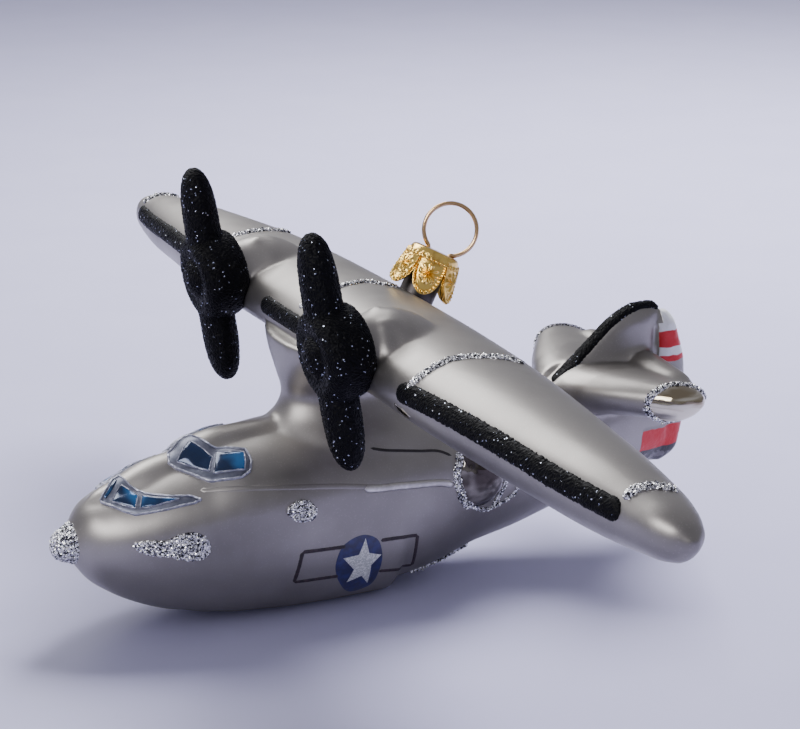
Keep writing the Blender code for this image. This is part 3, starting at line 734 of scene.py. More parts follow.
# %% Strips along the wing and the fin
WING_STRIP = ((44.6, 49.3, 54.7), (51.0, 50.0, 54.9), (58.0, 50.7, 54.9), (73.0, 52.4, 54.3), (86.0, 54.4, 53.2),
              (98.0, 56.1, 52.5), (104.6, 57.1, 52.2))
CENTRE_STRIP = ((-13.4, 48.6, 55.4), (-6.0, 48.5, 55.3), (0.0, 48.5, 55.3), (6.0, 48.5, 55.3), (13.4, 48.6, 55.4))
FIN_STRIP = ((1.1, 105.4, 35.2), (0.9, 108.8, 37.4), (0.6, 111.6, 39.6), (0.5, 114.2, 41.9), (0.4, 117.1, 44.3),
             (0.4, 119.9, 46.4), (0.4, 122.6, 47.8), (0.2, 125.9, 48.6), (0.2, 128.6, 48.4), (0.2, 130.4, 47.2))
BLACK_WIDTH, BLACK_RISE, BLACK_GRIT = 4.0, 0.55, 0.3
black_pieces, black_beds = [], []
for side_name, side in SIDES.items():
    keep(bead("wing_strip_" + side_name, mirrored(WING_STRIP, side), BLACK_WIDTH, BLACK_RISE, grit=BLACK_GRIT,
              across=15, seed=11), black_pieces, black_beds)
for name, knots, width, seed in (("centre_strip", CENTRE_STRIP, 3.7, 13), ("fin_strip", FIN_STRIP, 3.3, 14)):
    keep(bead(name, knots, width, BLACK_RISE, grit=BLACK_GRIT, across=15, seed=seed), black_pieces, black_beds)
print("black strips:", [len(piece.data.polygons) for piece in black_pieces])

# %% [markdown]
# ## Silver glitter lines
#
# Coarse silver glitter marks the joins of the wing, rings the bare glass of the blisters and stabiliser
# ends, and runs along the chine behind the step. The lines are 1 to 2 mm wide, and thin out where the glue
# ran thin.

# %% Lines, rings and spots of silver glitter
OUTER_LINE = ((47.6, 49.7, 55.6), (47.8, 50.9, 57.3), (48.0, 53.7, 58.7), (47.6, 57.7, 59.8), (48.5, 63.0, 59.9),
              (49.2, 66.5, 59.4), (50.6, 70.6, 58.1))
CENTRE_LINE = ((0.8, 50.2, 57.7), (1.9, 51.9, 59.0), (1.0, 57.9, 60.7), (0.2, 61.0, 60.9), (-0.4, 64.9, 60.7),
               (0.9, 67.0, 60.3), (1.8, 70.4, 59.4))
TIP_LINE = ((104.3, 57.6, 54.1), (104.1, 58.9, 54.9), (104.3, 61.1, 55.4), (104.9, 63.4, 55.2),
            (105.3, 66.2, 54.3))
RIM_FRONT = ((14.3, 77.3, 29.2), (14.8, 77.1, 27.3), (15.5, 76.1, 25.5), (15.7, 76.4, 23.1), (15.5, 77.1, 21.1),
             (15.1, 78.1, 18.9), (14.5, 80.1, 17.5))
RIM_REST = ((14.5, 80.1, 17.5), (13.7, 82.0, 16.3), (12.9, 84.2, 15.7), (12.3, 87.9, 16.4), (11.9, 90.8, 17.6),
            (11.4, 91.8, 21.4), (11.3, 90.8, 26.0), (11.8, 87.4, 29.6), (12.6, 82.6, 31.0), (14.0, 78.6, 30.4),
            (14.6, 77.2, 28.4))
RIM_FORK = ((12.8, 85.2, 16.2), (12.6, 86.7, 18.2), (12.5, 87.6, 19.9), (12.2, 88.4, 21.6))
CHINE_LINE = ((8.4, 69.4, 3.9), (7.6, 72.4, 3.3), (6.8, 77.0, 2.8), (6.2, 81.0, 3.8), (5.8, 84.5, 4.5))
silver_beds, silver_pieces = [], []
# Columns: name, knots, width, rise.
BEADS = (
    ("outer_line", OUTER_LINE, 1.5, 0.45),
    ("tip_line", TIP_LINE, 1.7, 0.5),
    ("chine_line", CHINE_LINE, 0.9, 0.4),
    ("rim_front", RIM_FRONT, 1.5, 0.55),
    ("rim_rest", RIM_REST, 0.8, 0.35),
    ("rim_fork", RIM_FORK, 0.8, 0.35),
)
for side_name, side in SIDES.items():
    for seed, (name, knots, width, rise) in enumerate(BEADS, 20):
        made = bead(name + "_" + side_name, mirrored(knots, side), width, rise, grit=1.0, seed=seed)
        keep(made, silver_pieces, silver_beds)
keep(bead("centre_line", CENTRE_LINE, 1.2, 0.4, grit=1.0, seed=30), silver_pieces, silver_beds)
print("silver lines:", len(silver_pieces))

# %% [markdown]
# The bow also has a tadpole-shaped smear and a round dab of the same glitter on each side. Rings of it
# close off the bare ends of the stabilisers, broad on the port side and hardly there on the other.

# %% Pads of silver glitter
BOW_SMEAR = ((10.7, 12.3, 20.5), (11.6, 14.4, 21.1), (12.5, 16.7, 20.9), (13.1, 18.6, 21.1), (13.4, 20.2, 22.0),
             (13.9, 22.2, 22.2), (14.4, 24.3, 21.6), (14.7, 25.8, 19.4), (14.2, 24.9, 16.9), (13.8, 22.9, 16.6),
             (13.4, 20.7, 17.0), (12.7, 17.9, 17.9), (11.6, 14.3, 18.6), (11.0, 12.8, 19.6))
HULL_DAB = ((16.3, 40.4, 24.2), (16.3, 41.8, 25.5), (16.4, 43.8, 25.7), (16.5, 45.5, 24.8), (16.7, 46.2, 23.2),
            (16.6, 45.3, 21.7), (16.5, 43.3, 21.6), (16.4, 41.3, 22.4))
PADS = (("bow_smear", BOW_SMEAR, 0.6), ("hull_dab", HULL_DAB, 0.7))
for side_name, side in SIDES.items():
    for seed, (name, knots, rise) in enumerate(PADS, 40):
        outline = loop(mirrored(knots, side), 90)
        made = pad(name + "_" + side_name, outline, rise, grit=0.5, rings=16, seed=seed)
        keep(made, silver_pieces, silver_beds)
print("silver pieces:", len(silver_pieces))

# %% Rings at the bare ends
END_RING = [(22.3, 121.0 - 7.2 * math.cos(t), 35.1 + 3.5 * math.sin(t)) for t in around(12)]
RING_WIDTHS = {"port": 1.5, "starboard": 0.6}
for seed, (side_name, side) in enumerate(SIDES.items(), 50):
    closed = mirrored(END_RING + END_RING[:1], side)
    made = bead("end_ring_" + side_name, closed, RING_WIDTHS[side_name], 0.4, grit=0.6, seed=seed)
    # No loose flakes are thrown on the thin starboard ring.
    keep(made, silver_pieces, silver_beds if side > 0 else [])

# %% [markdown]
# ## The mould seam and the creases
#
# The two halves of the mould left a raised seam along the hull. It is faint at the bow, and brighter and
# higher from amidships to the blister. Where the pylon's foot stands on the hull there is a thin crease, and
# the shade in it is painted as a near-black bead: a painted shadow line. All of them are beads too. A small
# spot under the wing strip stayed bare of lacquer, and is a very thin pad.

# %% Seam and crease
BOW_SEAM = ((10.6, 25.6, 28.8), (12.8, 30.6, 28.9), (14.2, 36.4, 28.6), (15.5, 43.4, 28.0), (16.2, 51.2, 27.1),
            (16.5, 57.3, 26.0), (16.6, 60.5, 25.4))
SIDE_SEAM = ((16.6, 56.0, 25.9), (16.6, 59.3, 25.4), (16.6, 62.9, 25.2), (16.4, 66.6, 24.8), (16.3, 70.4, 24.4),
             (16.0, 73.2, 23.9), (15.8, 75.3, 23.1))
CREASE = ((13.2, 58.9, 32.4), (13.6, 60.8, 31.9), (14.0, 65.4, 31.1), (14.1, 69.0, 30.5), (14.1, 73.4, 29.7),
          (14.5, 75.6, 28.6))
BARE_SPOT = ((43.8, 48.9, 52.2), (45.6, 49.0, 52.2), (47.6, 49.3, 51.9), (48.9, 49.5, 51.2), (47.4, 49.5, 50.3),
             (45.2, 49.2, 50.9))
seam_pieces, faint_pieces, crease_pieces, bare_pieces = [], [], [], []
# Columns: its kind, name, knots, width, rise.
SEAMS = (
    (faint_pieces, "bow_seam_", BOW_SEAM, 1.0, 0.12),
    (seam_pieces, "side_seam_", SIDE_SEAM, 1.5, 0.34),
    (crease_pieces, "foot_crease_", CREASE, 0.55, 0.06),
)
for side_name, side in SIDES.items():
    for pieces, name, knots, width, rise in SEAMS:
        pieces.append(bead(name + side_name, mirrored(knots, side), width, rise, step=0.6)[0])
    bare_pieces.append(pad("bare_spot_" + side_name, loop(mirrored(BARE_SPOT, side), 60), 0.1, rings=8)[0])
print("seam and crease:", len(seam_pieces), len(crease_pieces))

# %% [markdown]
# ## Windows
#
# The windows are paint. A lavender-grey frame was brushed on first, round the bow and over the cockpit, and
# then glossy blue panes were dropped into it, two on each side. Thin paler lines edge the frame and every
# pane. The hand that painted them wasn't exact: the starboard groups sit a little further aft.

# %% Frames, panes and their edge lines
BOW_FRAME = ((2.4, 9.1, 26.5), (1.7, 10.0, 27.4), (1.2, 10.9, 28.1), (-0.5, 12.7, 29.0), (-0.5, 14.0, 29.6),
             (1.6, 14.3, 29.5), (2.9, 14.6, 29.0), (4.4, 15.5, 28.3), (6.2, 16.6, 28.0), (7.9, 18.4, 28.0),
             (9.5, 20.7, 27.9), (10.8, 23.6, 28.0), (12.0, 25.2, 27.5), (12.0, 23.9, 27.0), (11.5, 21.7, 26.7),
             (10.8, 19.0, 26.2), (9.8, 16.4, 25.7), (8.7, 13.7, 25.3), (7.3, 12.3, 25.6), (5.6, 11.1, 26.0),
             (3.9, 10.0, 26.2))
COCKPIT_FRAME = ((-0.1, 23.5, 32.7), (2.7, 22.6, 31.8), (4.1, 23.5, 31.1), (6.3, 25.1, 30.6), (8.5, 26.6, 30.2),
                 (10.1, 27.9, 29.8), (10.9, 29.6, 30.1), (11.7, 31.7, 30.3), (12.1, 33.3, 30.5),
                 (11.6, 35.1, 31.2), (9.9, 36.1, 32.4), (8.7, 36.2, 33.1), (7.0, 36.1, 33.8), (6.2, 34.6, 33.9),
                 (5.1, 32.9, 33.9), (4.4, 31.4, 33.9), (3.7, 30.6, 34.3), (2.7, 29.9, 34.9), (1.2, 29.0, 35.3),
                 (-1.0, 28.0, 35.1), (-1.2, 26.2, 34.5), (-0.6, 25.0, 33.6))
BOW_PANES = {
    "front": ((2.1, 13.4, 28.8), (3.6, 14.3, 28.2), (6.0, 15.3, 27.5), (7.9, 14.0, 26.0), (6.2, 12.4, 26.3),
              (4.2, 10.9, 26.6), (3.0, 12.1, 27.6)),
    "rear": ((6.5, 15.9, 27.6), (8.4, 18.2, 27.6), (9.9, 20.6, 27.6), (10.5, 21.6, 27.5), (10.1, 19.9, 27.2),
             (9.6, 18.0, 26.7), (9.1, 16.4, 26.3), (8.3, 14.8, 26.1)),
}
COCKPIT_PANES = {
    "front": ((1.4, 27.4, 34.8), (2.3, 27.9, 34.6), (4.0, 29.1, 33.7), (5.9, 30.1, 32.7), (8.3, 28.4, 31.0),
              (6.4, 26.9, 31.1), (4.6, 25.4, 31.5), (3.1, 24.1, 31.9), (2.5, 25.1, 32.9), (1.9, 26.3, 34.1)),
    "rear": ((5.3, 31.0, 33.3), (6.8, 33.1, 33.5), (7.9, 35.5, 33.4), (9.9, 34.9, 32.3), (11.2, 34.2, 31.4),
             (10.3, 31.4, 31.2), (9.3, 29.0, 30.8), (7.5, 29.9, 32.0)),
}
CENTRE_PANE = ((0.7, 13.2, 29.2), (1.4, 12.5, 28.7), (2.3, 11.2, 27.7), (2.7, 10.2, 26.9), (2.3, 10.0, 27.0),
               (1.8, 11.0, 27.9), (0.8, 12.1, 28.7), (0.2, 13.0, 29.1))
STARBOARD_AFT, STARBOARD_OUT = 1.2, 3.6
FRAME_RISE, PANE_RISE = 0.35, 0.7
frame_pieces, pane_pieces, line_pieces = [], [], []


def lined(name, corners, width, rise):
    """A thin line of frame paint along an outline, laid like any other bead."""
    knots = sides(corners, 6)
    closed = np.concatenate([knots, knots[:1]])
    return bead(name, closed, width, rise, grit=0.3, step=0.25, across=7, seed=65)[0]


def handed(corners, side):
    """The port corners as they are, or mirrored, kept clear of the centre line, and moved a little aft."""
    if side > 0:
        return corners
    return [(-max(x, STARBOARD_OUT), station + STARBOARD_AFT, waterline) for x, station, waterline in corners]


def window_group(name, side, frame_outline, panes):
    """One side's frame, its domed panes, and the pale lines round them all."""
    outline = handed(frame_outline, side)
    frame_pieces.append(pad(name + "_frame", cornered(outline, 8), FRAME_RISE, rings=14)[0])
    line_pieces.append(lined(name + "_frame_line", outline, 0.5, FRAME_RISE + 0.1))
    for pane, corners in panes.items():
        outline = handed(corners, side)
        label = "%s_%s_pane" % (name, pane)
        pane_pieces.append(pad(label, cornered(outline, 12), PANE_RISE, rings=16, foot=FRAME_RISE, dome=4)[0])
        line_pieces.append(lined(label + "_line", outline, 0.4, FRAME_RISE + 0.2))


for side_name, side in SIDES.items():
    window_group("bow_" + side_name, side, BOW_FRAME, BOW_PANES)
    window_group("cockpit_" + side_name, side, COCKPIT_FRAME, COCKPIT_PANES)
pane_pieces.append(pad("bow_centre_pane", cornered(CENTRE_PANE, 12), FRAME_RISE + 0.15, foot=FRAME_RISE)[0])
print("window pieces:", len(frame_pieces), len(pane_pieces), len(line_pieces))

# %% [markdown]
# ## Star, disc and bars
#
# Painted by hand on each side of the hull: a navy disc, a white star on it that leans and has one short
# leg, and the outline of a bar before and behind it, in plum-brown lines with uneven corners.

# %% The painted figure
DISC = ((16.5, 56.1, 16.6), (16.3, 58.9, 15.1), (15.8, 60.1, 12.1), (14.2, 60.1, 7.4), (12.1, 59.0, 4.0),
        (11.2, 56.2, 3.0), (13.8, 51.9, 6.8), (15.5, 50.5, 11.3), (16.3, 51.8, 15.1))
STAR = ((16.5, 56.3, 16.0), (15.9, 57.3, 12.6), (15.7, 60.0, 11.6), (15.1, 58.1, 9.6), (12.9, 58.3, 4.9),
        (14.2, 56.4, 7.3), (13.6, 53.4, 6.3), (15.0, 54.4, 9.3), (15.9, 51.8, 12.4), (15.9, 55.1, 12.6))
FRONT_BAR = ((16.2, 52.4, 14.8), (16.2, 47.5, 15.0), (16.1, 43.5, 15.2), (15.3, 43.0, 12.0), (14.4, 42.4, 8.6),
             (14.5, 46.5, 8.5), (14.6, 51.6, 8.3))
REAR_BAR = ((16.3, 59.6, 14.7), (16.2, 63.8, 14.5), (15.4, 67.7, 14.1), (14.3, 67.8, 11.2), (11.6, 68.2, 6.8),
            (13.6, 64.4, 7.1), (14.3, 60.1, 7.6))
BAR_WIDTH = 0.8
disc_pieces, star_pieces, bar_pieces = [], [], []
for side_name, side in SIDES.items():
    disc_pieces.append(pad("disc_" + side_name, loop(mirrored(DISC, side), 90), 0.12, rings=16)[0])
    star_pieces.append(pad("star_" + side_name, cornered(mirrored(STAR, side), 8), 0.28, rings=14)[0])
    for name, corners in (("front_bar", FRONT_BAR), ("rear_bar", REAR_BAR)):
        for run, (start, end) in enumerate(((0, 3), (2, 5), (4, 7))):
            knots = mirrored(corners[start:end], side)
            label = "%s_%d_%s" % (name, run + 1, side_name)
            bar_pieces.append(bead(label, knots, BAR_WIDTH, 0.12, grit=0.35, seed=70 + run)[0])
print("figure pieces:", len(disc_pieces) + len(star_pieces) + len(bar_pieces))
discard(glass)

# %% [markdown]
# ## Propellers
#
# Each propeller is one fat casting of glass under black glitter: a barrel that stands for the engine's
# cowling, and two blades like fingers. The barrel is a turned profile and the blades are one long body of
# oval sections. A voxel remesh joins them, smoothing softens the roots, and seeded noise gives every point
# a grain of grit.

# %% The shape of a propeller
HUB_STATION, HUB_WATERLINE, SHAFT_LEAN = 44.6, 57.7, math.radians(7.2)
BLADE_TURN = {"port": math.radians(5.6), "starboard": math.radians(2.7)}
COWL = ((0.1, 5.8), (1.9, 5.5), (3.4, 4.6), (4.0, 3.8), (4.7, 4.1), (6.6, 4.3), (8.0, 3.4), (8.7, 1.8),
        (8.7, -2.4), (7.9, -4.3), (6.6, -5.1), (0.1, -5.1))
BLADE_TIP, BLADE_WIDTH, BLADE_THICK, BLADE_MIDDLE = 21.9, 9.2, 6.9, 0.6
BLADE_TAPER, BLADE_WAIST, BLADE_END = 0.05, 0.88, 0.0144
GRIT, PROPELLER_VOXEL, PROPELLER_ROUNDS = 0.1, 0.32 * MM, 6


def blade_rows():
    """Ovals along Y: half width times cosine and half thickness times sine, which both fall off towards a tip."""
    out = np.sin(np.linspace(-math.pi / 2, math.pi / 2, 80))[:, None]
    turn = around(48)[None, :]
    full = np.sqrt(np.maximum(1 - np.abs(out) ** 6, BLADE_END))
    waist = BLADE_WAIST + (1 - BLADE_WAIST) * np.abs(out)
    width = BLADE_WIDTH / 2 * full * waist * (1 - BLADE_TAPER * out)
    return np.stack([width * np.cos(turn), BLADE_TIP * out + 0 * turn,
                     BLADE_MIDDLE + BLADE_THICK / 2 * full * np.sin(turn)], axis=-1) * MM


def put(mesh, points):
    """New places for all of a mesh's points."""
    mesh.vertices.foreach_set("co", points.ravel())
    mesh.update()


def normals_of(mesh):
    flat = np.empty(len(mesh.vertices) * 3)
    mesh.vertices.foreach_get("normal", flat)
    return flat.reshape(-1, 3)


def roughened(piece, amount, seed):
    """Every point moved along its normal by a seeded random part of the amount."""
    points, normals = points_of(piece.data), normals_of(piece.data)
    dice = np.random.default_rng(seed)
    put(piece.data, points + normals * (amount * MM * dice.uniform(-1, 1, (len(points), 1))))
    return piece


def propeller(name, side, blade_turn, seed):
    """Barrel and blades melted together, turned to face ahead, and roughened along the normals."""
    work = bmesh.new()
    for rows in (turned_rows(COWL, 64) * MM, blade_rows()):
        work.from_mesh(mesh_from_rows("blank", rows))
    mesh = bpy.data.meshes.new(name)
    work.to_mesh(mesh)
    work.free()
    hub = Matrix.Translation(Vector(place(side * ENGINE_X, HUB_STATION, HUB_WATERLINE).tolist()))
    ahead = Matrix.Rotation(math.pi / 2 + SHAFT_LEAN, 4, "X")
    mesh.transform(hub @ ahead @ Matrix.Rotation(blade_turn, 4, "Z"))
    blank = show("blank_" + name, mesh)
    melt = blank.modifiers.new("melt", "REMESH")
    melt.voxel_size = PROPELLER_VOXEL
    soften = blank.modifiers.new("soften", "SMOOTH")
    soften.iterations = PROPELLER_ROUNDS
    melted = evaluated(blank)
    discard(blank)
    tidy(melted, 180)
    melted.name = name
    return grainy(roughened(show(name, melted), GRIT, seed))


propellers = {side_name: propeller("glitter_propeller_" + side_name, side, BLADE_TURN[side_name], 80 + side)
              for side_name, side in SIDES.items()}
print("propellers:", {name: len(piece.data.polygons) for name, piece in propellers.items()})

# %% [markdown]
# ## Nose cone and blisters
#
# The tip of the bow is dipped in glue and silver glitter. The blisters are left as bare silvered glass, so
# they are plain smooth domes. The dimple where the mould pinched them is left out.

# %% Nose cone and blisters
# Columns: station, waterline, radius.
NOSE = ((0.0, 18.0, 0.4), (0.4, 18.0, 1.6), (1.4, 18.1, 2.6), (2.8, 18.2, 3.3), (3.6, 18.3, 3.7),
        (4.4, 18.4, 4.0))
NOSE_WIDEN, NOSE_GRIT, NOSE_MIDDLE = 1.04, 0.12, (0.0, 3.0, 18.2)
BLISTER_CENTRE, BLISTER_RADII = (11.4, 81.8, 23.6), (5.8, 7.0, 7.4)


def nose_rows(count=26):
    """Rings across the flight line: station by station, a radius read from the table, times cosine and sine."""
    at = np.linspace(NOSE[0][0], NOSE[-1][0], count)[:, None]
    turn = around(72)[None, :]
    radius, height = read(NOSE, 2, at), read(NOSE, 1, at)
    return place(radius * NOSE_WIDEN * np.cos(turn), at, height + radius * np.sin(turn))


nose_grid = nose_rows()
nose = roughened(solid("glitter_nose", nose_grid), NOSE_GRIT, 91)
lapped = np.concatenate([nose_grid, nose_grid[:, :1]], axis=1)
silver_beds.append((lapped, unit(lapped - place(*NOSE_MIDDLE))))
blisters = {}
for side_name, side in SIDES.items():
    centre = (side * BLISTER_CENTRE[0], *BLISTER_CENTRE[1:])
    blisters[side_name] = solid("glass_blister_" + side_name, ball_rows(centre, BLISTER_RADII, 72, 48))
for piece in (nose, *silver_pieces, *black_pieces):
    grainy(piece)
silver_flakes = flakes("silver_flakes", silver_beds, density=7.5, size=0.24, seed=7)
black_flakes = flakes("black_flakes", black_beds, density=2.5, size=0.16, seed=8, tilt=0.35)
print("flakes:", len(silver_flakes.data.polygons) // 12, len(black_flakes.data.polygons) // 12)

# %% [markdown]
# ## Neck, cap and ring
#
# The neck is the stub of glass that the body was blown through. A pressed foil cap stands on it, with
# petals that grip it, rows of beads along the petals' edges and a stamped flower in each. The ring is
# springy wire, and its two legs go through the cap's holes into the neck.

# %% Neck tube
NECK_TOP, NECK_ROUND = -0.75, 0.35


def neck_rows():
    """A tube: down the outside, across the bottom and up the bore, with a rounded lip."""
    outside = [(NECK_RADIUS - NECK_ROUND, NECK_TOP), (NECK_RADIUS, NECK_TOP - NECK_ROUND),
               (NECK_RADIUS, -6.0), (NECK_RADIUS, -NECK_LENGTH)]
    inside = [(NECK_BORE, -NECK_LENGTH), (NECK_BORE, -6.0), (NECK_BORE, NECK_TOP - NECK_ROUND),
              (NECK_BORE + NECK_ROUND, NECK_TOP)]
    return turned_rows(outside + inside + outside[:1], 72)


neck = solid("glass_neck", at_neck(neck_rows()))

# %% The stamped cap
CAP_TOP_RADIUS, CAP_SPLAY, CAP_HEIGHT, NOTCH_TOP, FOIL = 4.9, 0.2, 8.6, 0.42, 0.45
SHOULDER = -1.3
LEG_HOLES = (-1.75, 2.6)
PETALS = 6
BEAD_PITCH, BEAD_RISE, BEAD_RADIUS, BEAD_INSET = 0.95, 0.42, 0.42, 0.5
FLOWER_BELOW, FLOWER_RADIUS, FLOWER_EYE, FLOWER_RIBS = 3.2, 2.1, 0.4, 8


def beads_along(distance, run):
    """Round studs in a row: domes in the distance from the row and the run past the nearest stud."""
    past = ((run / BEAD_PITCH) % 1.0 - 0.5) * BEAD_PITCH
    return np.clip(1 - (distance / BEAD_RADIUS) ** 2 - (past / BEAD_RADIUS) ** 2, 0, 1) ** 0.5


def cap_rows():
    """The outside of the cap from its top to the petals' edges, then the same surface a foil's thickness inside.

    The edge hangs lowest in the middle of each petal. Each has a flower of ribs stamped in it.
    """
    turn = around(360)[None, :]
    petal = ((turn * PETALS / (2 * math.pi)) % 1.0 - 0.5) * 2
    edge = -CAP_HEIGHT * (NOTCH_TOP + (1 - NOTCH_TOP) * np.sqrt(1 - np.abs(petal) ** 1.8))
    part = (np.linspace(0, 1, 90) ** 0.85)[:, None]
    height = SHOULDER + part * (edge - SHOULDER)
    radius = CAP_TOP_RADIUS + 0.15 + CAP_SPLAY * (SHOULDER - height)
    across = petal * math.pi / PETALS * radius
    below = SHOULDER - height
    rim = height - edge
    step = turn[0, 1] - turn[0, 0]
    slope = np.gradient(edge[0], step)[None, :] / radius
    gap = rim / np.sqrt(1 + slope**2)
    run = np.cumsum(np.sqrt(1 + slope**2) * radius[-1:] * step, axis=1)
    stamp = np.maximum(beads_along(gap - BEAD_INSET, run), beads_along(below - BEAD_INSET, across + 0 * height))
    rosette = np.hypot(across, below - FLOWER_BELOW)
    spokes = 0.5 + 0.5 * np.cos(FLOWER_RIBS * np.arctan2(across, below - FLOWER_BELOW))
    eye = np.clip(1 - (rosette / FLOWER_EYE) ** 2, 0, 1)
    flower = np.clip((FLOWER_RADIUS - rosette) / 0.5, 0, 1) * spokes - 0.5 * eye
    stamp = np.maximum(stamp, flower * np.clip((gap - 0.9) / 0.4, 0, 1))
    inner = radius - FOIL
    radius = radius + BEAD_RISE * stamp
    outside = np.stack([radius * np.cos(turn), radius * np.sin(turn), height + 0 * turn], axis=-1)
    inside = np.stack([inner * np.cos(turn), inner * np.sin(turn), height + 0 * turn], axis=-1)
    top = turned_rows(((0.15, 0.0), (1.0, 0.0), (2.0, 0.02), (3.0, 0.03), (3.7, 0.0), (4.2, -0.08), (4.5, -0.2),
                       (4.75, -0.42), (4.9, -0.7), (5.0, -1.0)), 360)
    under = turned_rows(((4.2, -0.9), (3.6, -FOIL), (2.0, -FOIL), (0.15, -FOIL)), 360)
    return np.concatenate([top, outside, inside[::-6], under])


cap = solid("gold_cap", at_neck(cap_rows()))
print("cap:", len(cap.data.polygons))

# %% [markdown]
# The ring is a tube: a circle carried along the wire's route, which is an arc on two legs.

# %% The wire ring
WIRE_RADIUS, LOOP_RADIUS, LOOP_CENTRE = 0.42, 5.1, (0.7, 4.75)
LEG = ((-2.05, -4.0), (-1.95, -1.2), (-1.75, -0.45), (-1.75, 0.0))


def tube_rows(route, radius, count=20):
    """A circle at each point of a route in the XZ plane: radius times cosine along Y, sine along its normal."""
    turn = around(count)[None, :, None]
    along = unit(np.gradient(route, axis=0))
    flat = np.stack([0 * along[:, 0], 0 * along[:, 0] + 1, 0 * along[:, 0]], axis=-1)
    normal = np.cross(along, flat)
    return route[:, None] + radius * (np.cos(turn) * flat[:, None] + np.sin(turn) * normal[:, None])


def ring_route():
    """The right leg upwards, the arc over the top from right to left, and the left leg down."""
    middle, height = LOOP_CENTRE
    start = math.asin((0.45 - height) / LOOP_RADIUS)
    turn = np.linspace(start, math.pi - start, 90)
    arc = np.stack([middle + LOOP_RADIUS * np.cos(turn), height + LOOP_RADIUS * np.sin(turn)], axis=-1)
    left = np.array(LEG)
    right = np.array([(sum(LEG_HOLES) - x if z > -1 else -x, z) for x, z in LEG])
    flat = np.concatenate([right, arc, left[::-1]])
    gone = travelled(flat)
    at = np.linspace(0, gone[-1], 240)
    x, z = (read(np.column_stack([gone, flat[:, k]]), 1, at) for k in (0, 1))
    return np.stack([x, 0 * x, z], axis=-1)


ring = solid("wire_ring", at_neck(tube_rows(ring_route(), WIRE_RADIUS)))
print("ring:", len(ring.data.polygons))

# %% [markdown]
# ## What rides on what
#
# The cap turns on the neck and the ring tips in the cap's holes. Everything else is one body. Each new
# piece rides on its body, and stands for the CAD node that it dresses.

# %% Bodies and nodes
def belongs(piece, body, slot, *nodes):
    """Tells the frame which body a piece rides on and the nodes it replaces. Its slot is not used."""
    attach(piece, body)
    if nodes:
        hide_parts(*nodes)


for name, piece in glass_parts.items():
    slot = "silver_lacquer"
    if name == "rudder":
        slot = "rudder_enamel"
    elif name.startswith("stabiliser_end_"):
        slot = "silvered_glass"
    belongs(piece, "ornament", slot, name)
for side_name in SIDES:
    belongs(propellers[side_name], "ornament", "black_glitter", "propeller_" + side_name)
    belongs(blisters[side_name], "ornament", "silvered_glass", "blister_" + side_name)
belongs(nose, "ornament", "silver_glitter", "nose_cone")
belongs(neck, "ornament", "neck_lacquer", "neck_tube")
belongs(cap, "cap", "gold_foil", "crown_cap")
belongs(ring, "ring", "copper_wire", "hanger_ring")
for piece in frame_pieces:
    belongs(piece, "ornament", "blue_enamel", piece.name.split("_")[0] + "_windows")
for pieces, slot in ((pane_pieces + line_pieces + disc_pieces, "blue_enamel"),
                     (star_pieces + bar_pieces, "rudder_enamel"),
                     (black_pieces + [black_flakes], "black_glitter"),
                     (silver_pieces + [silver_flakes], "silver_glitter"),
                     (seam_pieces + faint_pieces + crease_pieces, "silver_lacquer"),
                     (bare_pieces, "silvered_glass")):
    for piece in pieces:
        belongs(piece, "ornament", slot)

# %% [markdown]
# ## Shader maths as Python
#
# Materials below read like formulas. A small class wraps a socket, and Python's own signs add the Math
# nodes. Colours never go through Math, which would turn them grey: they are blended by Mix nodes.
# Everything reads Object coordinates, so a pattern is tied to the ornament's own millimetres.


# %% A value that does its own maths
class Value:
    """A socket whose value varies over a surface."""

    def __init__(self, finish, socket):
        self.finish = finish
        self.socket = socket

    def math(self, operation, *terms):
        return self.finish.node("ShaderNodeMath", {"operation": operation}, dict(enumerate(terms)))

    def __add__(self, other):
        return self.math("ADD", self, other)

    def __sub__(self, other):
        return self.math("SUBTRACT", self, other)

    def __rsub__(self, other):
        return self.math("SUBTRACT", other, self)

    def __mul__(self, other):
        return self.math("MULTIPLY", self, other)

    def __gt__(self, other):
        return self.math("GREATER_THAN", self, other)

    __radd__ = __add__
    __rmul__ = __mul__

    def between(self, low, high):
        """Nothing below the low value, one above the high value, and an S-shaped rise from one to the other."""
        return self.finish.node("ShaderNodeMapRange", {"interpolation_type": "SMOOTHSTEP"},
                                {0: self, 1: low, 2: high, 3: 0.0, 4: 1.0})


